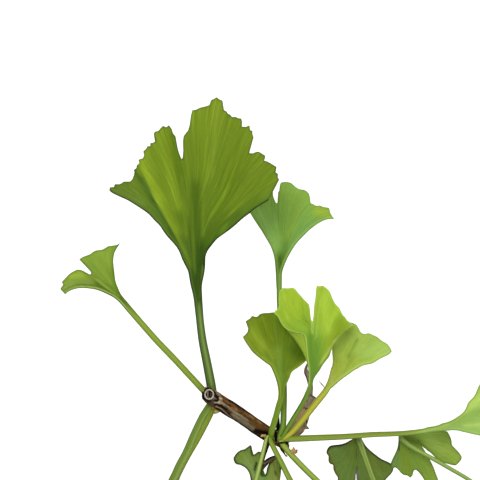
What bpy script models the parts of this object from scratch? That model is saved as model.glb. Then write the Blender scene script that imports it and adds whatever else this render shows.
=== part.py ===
"""A ginkgo bonsai in a round clay pot, with its soil and drain screen.

Run it in Blender. The frame has +Z up and its origin on the ground under the tree. The leaves near
the top are drawn as the reference view shows them, in that view's pixels, and set at a depth.
"""

import math
import random
from dataclasses import dataclass

import bmesh
import bpy
from mathutils import Matrix, Vector

MM = 0.001
UP = Vector((0, 0, 1))

# The tall leaf sets the scale of the reference view
TALL_LEAF_WIDTH = 48.6 * MM
TALL_LEAF_PIXELS = 162
PIXEL = TALL_LEAF_WIDTH / TALL_LEAF_PIXELS

# The main spur, where eight leaves and the old leader meet, and the direction of the view
MAIN_SPUR = Vector((8, -4, 215)) * MM
MAIN_SPUR_PIXEL = (278, 438)
VIEW_DISTANCE = 700 * MM
VIEW_TILT = math.radians(8)
VIEW_RIGHT = Vector((1, 0, 0))
VIEW_UP = Vector((0, math.sin(VIEW_TILT), math.cos(VIEW_TILT)))
VIEW_AWAY = Vector((0, math.cos(VIEW_TILT), -math.sin(VIEW_TILT)))
VIEW_AIM = MAIN_SPUR + VIEW_RIGHT * (240 - 278) * PIXEL + VIEW_UP * (438 - 240) * PIXEL
EYE = VIEW_AIM - VIEW_AWAY * VIEW_DISTANCE

# Clay pot and what it holds
POT_RADIUS = 69 * MM
POT_HEIGHT = 58 * MM
POT_LIP_HEIGHT = 9 * MM
POT_WALL = 6 * MM
POT_FLOOR = 10 * MM
FOOT_RADIUS = 47 * MM
FOOT_WIDTH = 6 * MM
FOOT_HEIGHT = 5 * MM
DRAIN_RADIUS = 8 * MM
SCREEN_SIZE = 26 * MM
SCREEN_THICKNESS = 1 * MM
SOIL_EDGE = 50 * MM
SOIL_CROWN = 55 * MM
GAP = 0.3 * MM
TURNED_SIDES = 24

# Leaves
BLADE_THICKNESS = 0.7 * MM
BLADE_ROWS = 3
LOWER_LEAF_ROWS = 2
STALK_SIDES = 5
FREE_LEAF_RIBS = 11
FREE_LEAF_BOW = 0.16
SIDE_RIBS_SHORTER = 0.16
STALK_INSET = 0.6 * MM
BUD_LENGTH = 2.6 * MM
BUD_RADIUS = 1.6 * MM


def sight(pixel_x, pixel_y, depth=0.0):
    """The point seen at a pixel of the reference view, that many millimetres behind the main spur."""
    across = VIEW_RIGHT * (pixel_x - MAIN_SPUR_PIXEL[0]) * PIXEL
    upward = VIEW_UP * (MAIN_SPUR_PIXEL[1] - pixel_y) * PIXEL
    on_plane = MAIN_SPUR + across + upward
    return on_plane + (on_plane - EYE) * (depth * MM / VIEW_DISTANCE)


def mm(x, y, z):
    """A point given in millimetres."""
    return Vector((x, y, z)) * MM


@dataclass
class DrawnLeaf:
    """A leaf as the reference view shows it: pixels for its outline, millimetres for its depth."""

    base: tuple
    rim: list
    left: tuple
    right: tuple
    stalk: list
    stalk_radius: float = 0.85
    depth: float = 0.0
    lean: float = 0.1
    turn: float = 0.0
    ruffle: float = 1.0
    waves: float = 2.0
    phase: float = 0.0
    margin: tuple = ()
    curl: float = 0.0


@dataclass
class FreeLeaf:
    """A leaf that the reference view doesn't show: a fan in a frame of its own, in millimetres."""

    base: Vector
    axis: Vector
    face: Vector
    width: float
    length: float
    stalk: list
    notch: float = 0.35
    arch: float = 0.12
    ruffle: float = 1.2
    seed: int = 0
    stalk_radius: float = 0.7


TALL = DrawnLeaf(
    base=(197, 283),
    rim=[
        (109, 190), (120, 184), (133, 179), (136, 166), (146, 150), (155, 142), (157, 131),
        (165, 126), (174, 133), (179, 154), (182, 159), (184, 138), (191, 118), (193, 110),
        (206, 107), (216, 97), (223, 110), (241, 119), (243, 127), (251, 128), (252, 140),
        (250, 153), (262, 154), (269, 163), (277, 170), (279, 180), (271, 200),
    ],
    left=(168.5, 215.5),
    right=(206, 229),
    stalk=[(213, 399, -3.7), (211.5, 388, -4.8), (206, 360, -7.6), (201, 330, -8.6), (197, 292, -8.6)],
    stalk_radius=1.15,
    depth=-8.5,
    lean=0.16,
    turn=0.04,
    ruffle=2.4,
    waves=2.6,
    phase=0.1,
)
TWO_LOBED = DrawnLeaf(
    base=(120, 299),
    rim=[
        (65, 294), (60, 289), (63, 285), (62, 282), (69, 275), (78, 270), (86.6, 274),
        (90.7, 273.8), (85, 267), (80, 261.8), (86, 255.7), (98, 250), (108.6, 246), (116, 245),
        (120.6, 243),
    ],
    left=(92, 280),
    right=(106, 265),
    stalk=[(213, 399, -3.7), (204, 391, -5.4), (180, 364, -10), (150, 333, -13), (122, 302, -14)],
    stalk_radius=0.95,
    depth=-14,
    lean=-0.1,
    turn=-0.06,
    ruffle=1.0,
    waves=1.6,
    phase=0.35,
)
BACK = DrawnLeaf(
    base=(279, 272),
    rim=[
        (243, 204), (252, 192), (266, 188), (274.5, 199), (277.5, 203), (278, 192), (281, 182),
        (291, 183), (300, 190), (309, 193), (311, 203), (320, 205.5), (329, 208.5), (331, 214),
        (334.5, 219),
    ],
    left=(270, 237),
    right=(289, 236.5),
    stalk=[
        (280, 437, -0.9), (283, 427, 0.3), (283.5, 411, 4), (284, 388, 8), (282, 350, 11),
        (280.5, 315, 13), (279, 275, 14),
    ],
    depth=14,
    lean=0.1,
    turn=-0.05,
    ruffle=1.0,
    waves=2.2,
)
BROAD = DrawnLeaf(
    base=(281.5, 387),
    rim=[
        (243, 337), (248, 330), (245, 323), (252, 316.5), (260, 314), (274, 313), (290, 314),
        (304, 322), (313, 333), (316, 346),
    ],
    left=(270, 361),
    right=(295, 367),
    stalk=[(277, 438, -0.8), (271, 434, -1.2), (276, 417, -1.0), (280.3, 400, -0.4), (281.4, 389, 0)],
    stalk_radius=1.0,
    depth=0,
    lean=0.12,
    ruffle=1.2,
    waves=1.7,
    phase=0.5,
)
CENTRE = DrawnLeaf(
    base=(311, 380),
    rim=[
        (276, 309), (278, 304), (280, 291), (284, 288), (293, 288), (302, 297), (308.6, 304.5),
        (310, 316), (312.4, 322), (314, 311), (316, 291), (318, 285.6), (323, 286), (332, 298),
        (340, 310), (343, 316), (352.5, 324.5),
    ],
    left=(303, 345),
    right=(328, 349.5),
    stalk=[(281, 439, -1.6), (291.7, 421, -3.4), (303, 403, -4.6), (309, 389, -5), (311, 382, -5)],
    stalk_radius=0.75,
    depth=-5,
    lean=0.05,
    ruffle=0.9,
    waves=2.0,
    phase=0.2,
    margin=((316, 322), (273.7, 312.7)),
    curl=2.2,
)
RIGHT = DrawnLeaf(
    base=(330, 386),
    rim=[
        (333, 322), (341, 319), (348, 321), (359, 328), (364, 333.5), (374, 335), (385, 341),
        (391, 348), (391, 353),
    ],
    left=(334, 354),
    right=(355, 366.5),
    stalk=[(282, 439, -1.2), (290.6, 433, -1.6), (306.7, 414.5, -1), (321, 400, 0.4), (329, 388, 1.4)],
    stalk_radius=0.95,
    depth=1.5,
    lean=0.1,
    turn=-0.05,
    ruffle=0.8,
    waves=1.5,
)
LONG_STALKED = DrawnLeaf(
    base=(428, 431),
    rim=[
        (496, 364), (510, 368), (520, 380), (529, 392), (521, 402), (536, 410), (541, 425),
        (538, 440), (531, 452),
    ],
    left=(468, 416.5),
    right=(480.5, 428.5),
    stalk=[
        (282, 439, -1.0), (300, 438.3, -1.4), (345, 436.5, -2), (385, 433.6, -3), (408, 433.2, -3.5),
        (426, 431.5, -4),
    ],
    depth=-4,
    lean=-0.04,
    ruffle=1.2,
    waves=2.0,
)
LOW_UPRIGHT = DrawnLeaf(
    base=(264, 505),
    rim=[
        (234, 461), (234, 456), (238, 450), (248, 446), (253, 454), (258, 451), (261, 455),
        (263, 474), (267, 468), (275, 458), (280, 464), (282, 476),
    ],
    left=(252, 471),
    right=(276, 490),
    stalk=[(262, 560, 1.8), (261.5, 545, 1.4), (262.5, 525, 2.4), (264, 507, 3.4)],
    depth=3.5,
    lean=-0.04,
    ruffle=0.8,
    waves=1.5,
)
FOLDED_DARK = DrawnLeaf(
    base=(358, 438),
    rim=[
        (327, 450), (329, 458), (333, 465), (334, 470), (338, 480), (342, 488), (349, 494),
        (355, 492), (357, 470), (360, 494), (368, 497), (378, 492), (386, 480), (393, 470),
        (391, 463),
    ],
    left=(344, 441),
    right=(378, 455),
    stalk=[
        (392, 530, 1.0), (384, 505, -1), (373, 480, -1.6), (366, 460, -1.2), (361, 445, 0.2),
        (358.4, 439, 2),
    ],
    stalk_radius=0.75,
    depth=2.6,
    lean=0.16,
    ruffle=0.9,
    waves=1.5,
)
FOLDED_PALE = DrawnLeaf(
    base=(398, 437),
    rim=[
        (391, 463), (397, 470), (411, 477), (414, 470), (419, 472), (424, 480), (429, 488),
        (436, 490), (438, 480), (429, 459), (416, 447.5), (433, 456), (447, 463), (457, 465),
        (462, 458), (459, 451), (452, 445), (451, 438), (447, 431),
    ],
    left=(397.5, 448),
    right=(424, 434),
    stalk=[
        (520, 520, 1.6), (495, 497, 0), (468, 478, -1), (437, 459.4, -1.2), (414, 446, -0.6),
        (404, 440.5, 0.4), (398.6, 437.6, 1.8),
    ],
    stalk_radius=0.7,
    depth=2.4,
    lean=0.14,
    ruffle=0.7,
    waves=1.5,
)


def clear_scene():
    """Removes every object, so that the script starts from nothing."""
    for obj in list(bpy.data.objects):
        bpy.data.objects.remove(obj, do_unlink=True)


def material(name, colour, roughness):
    """A plain Principled material."""
    made = bpy.data.materials.new(name)
    made.use_nodes = True
    shader = made.node_tree.nodes["Principled BSDF"]
    shader.inputs["Base Color"].default_value = (*colour, 1)
    shader.inputs["Roughness"].default_value = roughness
    shader.inputs["Metallic"].default_value = 0
    return made


def add_object(name, bm, finish=None, smooth=True):
    """Turns a bmesh into an object in the scene, with its faces pointing out."""
    bmesh.ops.recalc_face_normals(bm, faces=bm.faces)
    mesh = bpy.data.meshes.new(name)
    bm.to_mesh(mesh)
    bm.free()
    if smooth:
        mesh.shade_smooth()
        mesh.set_sharp_from_angle(angle=math.radians(35))
    if finish:
        mesh.materials.append(finish)
    obj = bpy.data.objects.new(name, mesh)
    bpy.context.scene.collection.objects.link(obj)
    return obj


def apply_modifiers(obj):
    """Replaces the object's mesh with what its modifiers make of it."""
    bpy.context.view_layer.update()
    graph = bpy.context.evaluated_depsgraph_get()
    made = bpy.data.meshes.new_from_object(obj.evaluated_get(graph))
    obj.modifiers.clear()
    obj.data = made
    made.name = obj.name


def fuse(body, pieces):
    """Joins the pieces to the body in one Boolean union, and removes them."""
    if not pieces:
        return body
    group = bpy.data.collections.new(body.name + "_pieces")
    bpy.context.scene.collection.children.link(group)
    for piece in pieces:
        bpy.context.scene.collection.objects.unlink(piece)
        group.objects.link(piece)
    union = body.modifiers.new("join", "BOOLEAN")
    union.operation = "UNION"
    union.operand_type = "COLLECTION"
    union.collection = group
    union.solver = "MANIFOLD"
    apply_modifiers(body)
    for piece in pieces:
        bpy.data.objects.remove(piece, do_unlink=True)
    bpy.data.collections.remove(group)
    return body


def cut(body, cutter):
    """Subtracts the cutter, which stays in the file as a hidden helper."""
    cutter.hide_render = True
    cutter.display_type = "WIRE"
    difference = body.modifiers.new("cut", "BOOLEAN")
    difference.operation = "DIFFERENCE"
    difference.object = cutter
    difference.solver = "EXACT"
    return body


def smooth_route(points, steps):
    """Points of a smooth curve through the given ones, with that many steps between two of them."""
    ends = [points[0] * 2 - points[1], *points, points[-1] * 2 - points[-2]]
    route = []
    for before, start, end, after in zip(ends, ends[1:], ends[2:], ends[3:]):
        for step in range(steps):
            t = step / steps
            route.append(
                (
                    start * 2
                    + (end - before) * t
                    + (before * 2 - start * 5 + end * 4 - after) * t**2
                    + (start * 3 - before - end * 3 + after) * t**3
                )
                / 2
            )
    return [*route, points[-1]]


def spread(values, count):
    """The values stretched to that many by straight lines between them."""
    found = []
    for index in range(count):
        place = index * (len(values) - 1) / (count - 1)
        low = min(int(place), len(values) - 2)
        found.append(values[low] + (values[low + 1] - values[low]) * (place - low))
    return found


def tube(route, radii, sides, squeeze=1.0, cut_normal=None):
    """A closed tube along a route. Squeeze narrows it across the view and cut_normal slants its far end."""
    bm = bmesh.new()
    ring = bmesh.ops.create_circle(bm, cap_ends=False, segments=sides, radius=1.0)["verts"]
    edges = list(bm.edges)
    bmesh.ops.contextual_create(bm, geom=ring)
    for _ in route[1:]:
        grown = bmesh.ops.extrude_edge_only(bm, edges=edges)["geom"]
        fresh = [item for item in grown if isinstance(item, bmesh.types.BMVert)]
        bmesh.ops.translate(bm, verts=fresh, vec=(0, 0, 1))
        edges = [
            item
            for item in grown
            if isinstance(item, bmesh.types.BMEdge) and all(vert in fresh for vert in item.verts)
        ]
    bmesh.ops.contextual_create(bm, geom=fresh)
    frames = ring_frames(route)
    for vert in bm.verts:
        station = round(vert.co.z)
        side, front, along = frames[station]
        radius = radii[station]
        place = route[station] + side * vert.co.x * radius * squeeze + front * vert.co.y * radius
        if cut_normal is not None and station == len(route) - 1:
            slide = (route[station] - place).dot(cut_normal) / along.dot(cut_normal)
            place += along * slide
        vert.co = place
    bmesh.ops.triangulate(bm, faces=[face for face in bm.faces if len(face.verts) > 3])
    return bm


def ring_frames(route):
    """Side, front and forward directions at each point of a route, with no twist."""
    frames = []
    side = None
    for index, point in enumerate(route):
        ahead = route[min(index + 1, len(route) - 1)]
        behind = route[max(index - 1, 0)]
        along = (ahead - behind).normalized()
        if side is None:
            side = VIEW_RIGHT if abs(along.dot(VIEW_RIGHT)) < 0.8 else VIEW_UP
        side = (side - along * side.dot(along)).normalized()
        frames.append((side, along.cross(side), along))
    return frames


def tube_object(name, points, radii, sides, steps=2, squeeze=1.0, cut_normal=None):
    """A tube on a smooth curve through the points, as an object."""
    route = smooth_route(points, steps)
    return add_object(name, tube(route, spread(radii, len(route)), sides, squeeze, cut_normal))


def fan_angles(base, rim):
    """How far round the fan each rim point lies, from 0 at the first to 1 at the last."""
    angles = []
    for x, y in rim:
        angle = math.atan2(base[1] - y, x - base[0])
        while angles and angle - angles[-1] > math.pi:
            angle -= math.tau
        while angles and angles[-1] - angle > math.pi:
            angle += math.tau
        angles.append(angle)
    return [(angle - angles[0]) / (angles[-1] - angles[0]) for angle in angles]


def rib_controls(base, rim, shares, left, right):
    """The middle point of each rib's curve: the sides bend as drawn, and the ribs between follow."""
    middles = [((base[0] + x) / 2, (base[1] + y) / 2) for x, y in rim]
    left_bow = (left[0] - middles[0][0], left[1] - middles[0][1])
    right_bow = (right[0] - middles[-1][0], right[1] - middles[-1][1])
    controls = []
    for (x, y), share in zip(middles, shares):
        toward_left = max(0.0, 1 - 2 * share)
        toward_right = max(0.0, 2 * share - 1)
        bow_x = left_bow[0] * toward_left + right_bow[0] * toward_right
        bow_y = left_bow[1] * toward_left + right_bow[1] * toward_right
        controls.append((x + bow_x, y + bow_y))
    return controls


def on_rib(base, control, tip, t):
    """A point on the rib's quadratic curve."""
    x = base[0] * (1 - t) ** 2 + 2 * control[0] * t * (1 - t) + tip[0] * t**2
    y = base[1] * (1 - t) ** 2 + 2 * control[1] * t * (1 - t) + tip[1] * t**2
    return x, y


def drawn_blade(leaf):
    """The blade's points as a function of its rib's number and the share of the rib's length."""
    shares = fan_angles(leaf.base, leaf.rim)
    controls = rib_controls(leaf.base, leaf.rim, shares, leaf.left, leaf.right)
    rim = list(leaf.rim)
    curls = [0.0] * len(rim)
    if leaf.margin:
        shares.insert(0, 0.0)
        controls.insert(0, leaf.margin[0])
        rim.insert(0, leaf.margin[1])
        curls.insert(0, leaf.curl)

    def place(rib, t):
        x, y = on_rib(leaf.base, controls[rib], rim[rib], t)
        far = math.dist((x, y), leaf.base) * PIXEL / MM
        across = (x - leaf.base[0]) * PIXEL / MM
        wave = math.sin(math.tau * (leaf.waves * shares[rib] + leaf.phase))
        depth = leaf.depth + leaf.lean * far + leaf.turn * across
        depth += leaf.ruffle * t**2 * wave - curls[rib] * 4 * t * (1 - t)
        return sight(x, y, depth)

    return place, len(rim)


def free_blade(leaf):
    """The blade of a leaf with its own frame, as drawn_blade gives it."""
    chance = random.Random(leaf.seed)
    spread_angle = math.radians(chance.uniform(56, 66))
    axis = leaf.axis.normalized()
    side = leaf.face.cross(axis).normalized()
    face = axis.cross(side)
    scallops = [chance.uniform(0.9, 1.06) for _ in range(FREE_LEAF_RIBS)]
    phase = chance.random()
    half_width = leaf.length * math.sin(spread_angle)

    def place(rib, t):
        share = rib / (FREE_LEAF_RIBS - 1)
        turn = (share * 2 - 1) * spread_angle
        reach = leaf.length * scallops[rib] * (1 - SIDE_RIBS_SHORTER * (share * 2 - 1) ** 2)
        if rib == FREE_LEAF_RIBS // 2:
            reach *= 1 - leaf.notch
        bow = FREE_LEAF_BOW * leaf.length * math.sin(math.pi * t) * (share * 2 - 1)
        x = (reach * t * math.sin(turn) - bow * math.cos(turn)) * leaf.width / 2 / half_width
        y = reach * t * math.cos(turn) + abs(bow) * math.sin(abs(turn))
        wave = math.sin(math.tau * (1.6 * share + phase))
        lift = leaf.ruffle * t**2 * wave - leaf.arch * y * y / leaf.length
        return leaf.base + (side * x + axis * y + face * lift) * MM

    return place, FREE_LEAF_RIBS


def blade_object(name, place, ribs, rows):
    """A leaf blade as a thin solid, with the same triangles on both faces."""
    bm = bmesh.new()
    bmesh.ops.create_grid(bm, x_segments=ribs - 1, y_segments=rows, size=0.5)
    for vert in bm.verts:
        rib = round((vert.co.x + 0.5) * (ribs - 1))
        vert.co = place(rib, vert.co.y + 0.5)
    bmesh.ops.remove_doubles(bm, verts=bm.verts, dist=1e-6)
    bmesh.ops.triangulate(bm, faces=bm.faces)
    bmesh.ops.recalc_face_normals(bm, faces=bm.faces)
    bm.normal_update()
    normals = {tuple(vert.co): vert.normal.copy() for vert in bm.verts}
    sheet = list(bm.faces)
    copied = bmesh.ops.extrude_face_region(bm, geom=sheet, use_keep_orig=True)["geom"]
    back = [item for item in copied if isinstance(item, bmesh.types.BMVert)]
    fronts = set(bm.verts) - set(back)
    for vert in fronts:
        vert.co += normals[tuple(vert.co)] * BLADE_THICKNESS / 2
    for vert in back:
        vert.co -= normals[tuple(vert.co)] * BLADE_THICKNESS / 2
    bmesh.ops.triangulate(bm, faces=[face for face in bm.faces if len(face.verts) > 3])
    return add_object(name, bm)


def stalk_points(leaf):
    """The stalk's route in metres, ending a little inside the blade."""
    if isinstance(leaf, DrawnLeaf):
        return [sight(*point) for point in leaf.stalk]
    return leaf.stalk


def leaf_pieces(name, leaf):
    """The blade and the stalk of one leaf, overlapping at the blade's base."""
    if isinstance(leaf, DrawnLeaf):
        place, ribs = drawn_blade(leaf)
        rows = BLADE_ROWS
    else:
        place, ribs = free_blade(leaf)
        rows = LOWER_LEAF_ROWS
    blade = blade_object(name + "_blade", place, ribs, rows)
    points = stalk_points(leaf)
    middle = place(ribs // 2, 0.12)
    points = [*points, middle]
    radius = leaf.stalk_radius * MM
    radii = [radius] * (len(points) - 2) + [radius * 0.9, radius * 0.45]
    stalk = tube_object(name + "_stalk", points, radii, STALK_SIDES, steps=1)
    return [blade, stalk]


def bud(name, centre, along, radius=BUD_RADIUS):
    """The small green bud that the leaf stalks of one spur grow from."""
    direction = along.normalized()
    route = [centre + direction * BUD_LENGTH * (share - 0.5) for share in (0, 0.55, 1)]
    return add_object(name, tube(route, [radius * 0.8, radius, radius * 0.5], 7))


def leaf_bunch(name, centre, along, leaves, finish):
    """All leaves of one spur, fused at their bud."""
    body = bud(name, centre, along)
    pieces = []
    for index, leaf in enumerate(leaves):
        pieces += leaf_pieces(f"{name}_{index}", leaf)
    fuse(body, pieces)
    body.data.materials.clear()
    body.data.materials.append(finish)
    return body


def spray(centre, settings, seed):
    """Free leaves round a bud, each given as (azimuth, rise, reach, width) in degrees and millimetres."""
    chance = random.Random(seed)
    leaves = []
    for azimuth, rise, reach, width in settings:
        turn = math.radians(azimuth)
        lift = math.radians(rise)
        outward = Vector((math.cos(turn), math.sin(turn), 0))
        direction = outward * math.cos(lift) + UP * math.sin(lift)
        base = centre + direction * reach * MM
        middle = centre + direction * reach * 0.5 * MM + UP * reach * 0.1 * MM
        droop = lift - math.radians(chance.uniform(18, 34))
        axis = outward * math.cos(droop) + UP * math.sin(droop)
        roll = math.radians(chance.uniform(-24, 24))
        face = Matrix.Rotation(roll, 3, axis) @ UP
        leaves.append(
            FreeLeaf(
                base=base,
                axis=axis,
                face=face,
                width=width,
                length=width * chance.uniform(0.62, 0.72),
                stalk=[centre, middle, base - direction * STALK_INSET],
                notch=chance.uniform(0.2, 0.45),
                seed=seed * 10 + len(leaves),
            )
        )
    return leaves


def hanging_leaf(route, axis, face, width, length, seed):
    """A leaf whose stalk leaves the reference view at the bottom, with its blade hanging below."""
    points = [sight(*point) for point in route]
    return FreeLeaf(
        base=points[-1],
        axis=Vector(axis),
        face=Vector(face),
        width=width,
        length=length,
        stalk=points[:-1] + [points[-1] + (points[-2] - points[-1]).normalized() * STALK_INSET],
        seed=seed,
        stalk_radius=0.85,
    )


def main_spur_leaves():
    """The eight leaves of the main spur."""
    left_hanger = hanging_leaf(
        [(277, 438, -1), (267.5, 440, -2.4), (261, 460, -6), (256.5, 478, -9), (250, 504, -15)],
        (-0.25, -0.45, -0.86), (0, -1, 0.4), 27, 19, 71,
    )
    middle_hanger = hanging_leaf(
        [(278, 438, -1), (272.5, 441.6, -3), (281, 463, -6), (289.5, 479, -9), (301, 503, -15)],
        (0.2, -0.4, -0.88), (0, -1, 0.4), 25, 18, 72,
    )
    right_hanger = hanging_leaf(
        [(280, 439, -1), (284, 446.5, -2.6), (301.5, 464.5, -5), (316, 478.6, -7), (343, 505, -12)],
        (0.62, -0.3, -0.72), (0, -1, 0.4), 26, 19, 73,
    )
    drawn = [BACK, BROAD, CENTRE, RIGHT, LONG_STALKED]
    return [*drawn, left_hanger, middle_hanger, right_hanger]


def twig_end_leaves():
    """The four leaves behind the pruned end of the twig."""
    outer = hanging_leaf(
        [(213, 399, -3.7), (207.5, 408, -5.4), (190.5, 440, -11), (179, 465, -15), (171.5, 480, -18),
         (153, 514, -26)],
        (-0.62, -0.28, -0.73), (-0.3, -1, 0.5), 30, 21, 81,
    )
    inner = hanging_leaf(
        [(213, 399, -3.7), (212, 410, -5.2), (197, 440, -10.5), (184, 465, -14.5), (175.4, 480, -17),
         (167, 519, -25)],
        (0.12, -0.5, -0.86), (0.2, -1, 0.4), 27, 20, 82,
    )
    return [TALL, TWO_LOBED, outer, inner]


def spur_tip(centre, along, back=0.0):
    """The flat end of the wooden spur under a bud, a small gap away from it, or a point behind it."""
    return centre - along.normalized() * (BUD_LENGTH / 2 + GAP + back)


MAIN_BUD = sight(280, 438, -0.7)
TWIG_BUD = sight(213, 399, -3.7)
TRUNK_BUD = sight(262, 560, 1.8)
RIGHT_BUD = sight(392, 530, 1.0)
RIGHT_TIP_BUD = sight(520, 520, 1.6)
LEFT_BUD = mm(-48, -9, 134)
LEFT_TIP_BUD = mm(-75.5, -6, 141)
BACK_BUD = mm(-2, 51, 153)
FRONT_BUD = mm(34, -48.5, 141)
UPPER_LEFT_BUD = mm(-38, 18, 178)
RIGHT_BACK_BUD = mm(62, 32, 157)

BUNCHES = [
    ("leaves_main_spur", MAIN_BUD, -VIEW_AWAY, main_spur_leaves),
    ("leaves_twig_end", TWIG_BUD, VIEW_AWAY, twig_end_leaves),
    (
        "leaves_trunk_spur", TRUNK_BUD, -VIEW_AWAY,
        lambda: [LOW_UPRIGHT, *spray(TRUNK_BUD, [(196, -22, 26, 30), (338, -24, 26, 30)], 3)],
    ),
    (
        "leaves_right_spur", RIGHT_BUD, UP,
        lambda: [FOLDED_DARK, *spray(RIGHT_BUD, [(282, -14, 26, 32), (62, 6, 28, 32)], 4)],
    ),
    (
        "leaves_right_tip", RIGHT_TIP_BUD, UP,
        lambda: [
            FOLDED_PALE,
            *spray(RIGHT_TIP_BUD, [(302, -8, 24, 32), (350, 2, 20, 28), (50, 8, 26, 32)], 5),
        ],
    ),
    (
        "leaves_left_spur", LEFT_BUD, UP,
        lambda: spray(LEFT_BUD, [(245, 20, 26, 34), (300, 10, 26, 34), (70, 28, 24, 30)], 6),
    ),
    (
        "leaves_left_tip", LEFT_TIP_BUD, UP,
        lambda: spray(
            LEFT_TIP_BUD,
            [(180, 24, 20, 32), (226, -4, 24, 34), (134, 10, 24, 32), (92, 34, 24, 30)],
            7,
        ),
    ),
    (
        "leaves_back_tip", BACK_BUD, UP,
        lambda: spray(
            BACK_BUD,
            [(98, 18, 22, 34), (50, 6, 26, 34), (146, 8, 26, 34), (4, 28, 22, 28), (196, 24, 24, 30)],
            8,
        ),
    ),
    (
        "leaves_front_tip", FRONT_BUD, UP,
        lambda: spray(
            FRONT_BUD,
            [(268, 14, 22, 34), (318, 12, 24, 34), (8, 10, 24, 32), (214, 8, 24, 32)],
            9,
        ),
    ),
    (
        "leaves_upper_left", UPPER_LEFT_BUD, UP,
        lambda: spray(
            UPPER_LEFT_BUD,
            [(176, 4, 26, 34), (118, 2, 26, 34), (222, -6, 24, 30), (60, 0, 24, 30)],
            10,
        ),
    ),
    (
        "leaves_right_back", RIGHT_BACK_BUD, UP,
        lambda: spray(
            RIGHT_BACK_BUD,
            [(28, 12, 24, 34), (76, 12, 24, 32), (338, 4, 26, 32), (128, -12, 20, 28)],
            11,
        ),
    ),
]

TRUNK = [
    mm(-10, 0, 40), mm(-10, 0, 54), mm(-12, 0, 67), mm(-13, 1, 85), mm(-6, 1, 110), mm(3, 2, 135),
    mm(5, 3, 158), mm(2.6, 4, 179), mm(1.4, 3.2, 192), mm(1.4, 1.6, 201.5),
]
TRUNK_FOOT = mm(-10, 0, 0)
TRUNK_RADII = [radius * MM for radius in (8, 12, 10, 8.2, 6.6, 5.4, 4.2, 3.1, 2.2, 1.3)]
ROOT_AZIMUTHS = (12, 74, 128, 190, 246, 305)
ROOT_REACHES = (33, 28, 34, 31, 35, 29)


def root_pieces(name, swell):
    """The foot of the trunk and its surface roots, made thicker by swell."""
    foot = tube_object(name + "_foot", TRUNK[:4], [radius + swell for radius in TRUNK_RADII[:4]], 12)
    pieces = []
    for index, (azimuth, reach) in enumerate(zip(ROOT_AZIMUTHS, ROOT_REACHES)):
        turn = math.radians(azimuth)
        outward = Vector((math.cos(turn), math.sin(turn), 0))
        bend = Vector((-outward.y, outward.x, 0)) * (3 if index % 2 else -3) * MM
        points = [
            TRUNK_FOOT + outward * 4 * MM + UP * 61 * MM,
            TRUNK_FOOT + outward * 13 * MM + UP * 56.5 * MM,
            TRUNK_FOOT + outward * (reach - 9) * MM + UP * 52 * MM + bend,
            TRUNK_FOOT + outward * reach * MM + UP * 45.5 * MM + bend * 1.6,
        ]
        radii = [radius * MM + swell for radius in (5.5, 4.6, 3.2, 1.8)]
        pieces.append(tube_object(f"{name}_{index}", points, radii, 6))
    return foot, pieces


def trunk_and_branches():
    """The tubes of the trunk above its foot and of the branches."""
    upper = tube_object("trunk", TRUNK[2:], TRUNK_RADII[2:], 10)
    routes = {
        "right": ([mm(4.6, 2.5, 150), mm(20, 0, 160), mm(41, -4, 171), mm(62, -4, 176), RIGHT_TIP_BUD],
                  (3.2, 2.6, 2.2, 1.7, 1.4)),
        "left": ([mm(-9, 1, 98), mm(-28, -3, 110), mm(-48, -7, 119), mm(-67, -7, 127), LEFT_TIP_BUD],
                 (4.4, 3.4, 2.7, 2.0, 1.4)),
        "back": ([mm(-3, 1.5, 118), mm(-3, 20, 128), mm(-1, 37, 137), mm(-2, 48, 144), BACK_BUD],
                 (3.8, 3.0, 2.4, 1.8, 1.4)),
        "front": ([mm(-1, 1.5, 124), mm(12, -15, 128), mm(27, -39, 130), FRONT_BUD], (3.6, 2.8, 2.2, 1.4)),
        "upper_left": ([mm(4.6, 3, 164), mm(-10, 9, 168), mm(-28, 16, 170), UPPER_LEFT_BUD],
                       (2.8, 2.2, 1.8, 1.4)),
        "right_back": ([mm(2, 2, 132), mm(20, 12, 138), mm(42, 24, 143), mm(59, 31, 149), RIGHT_BACK_BUD],
                       (3.6, 2.8, 2.3, 1.7, 1.4)),
        "right_spur": ([mm(41, -4, 171), mm(42, -5, 178), RIGHT_BUD], (1.8, 1.5, 1.4)),
        "left_spur": ([mm(-47, -7, 119), mm(-48, -8.4, 126), LEFT_BUD], (2.0, 1.6, 1.4)),
        "trunk_spur": ([mm(2.6, 3.6, 178), TRUNK_BUD], (2.0, 1.4)),
    }
    pieces = []
    for name, (points, radii) in routes.items():
        along = -VIEW_AWAY if name == "trunk_spur" else UP
        route = [*points[:-1], spur_tip(points[-1], along, 3 * MM), spur_tip(points[-1], along)]
        thickness = [radius * MM for radius in (*radii[:-1], radii[-1], radii[-1])]
        pieces.append(tube_object("branch_" + name, route, thickness, 6, cut_normal=along))
    return [upper, *pieces]


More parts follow.
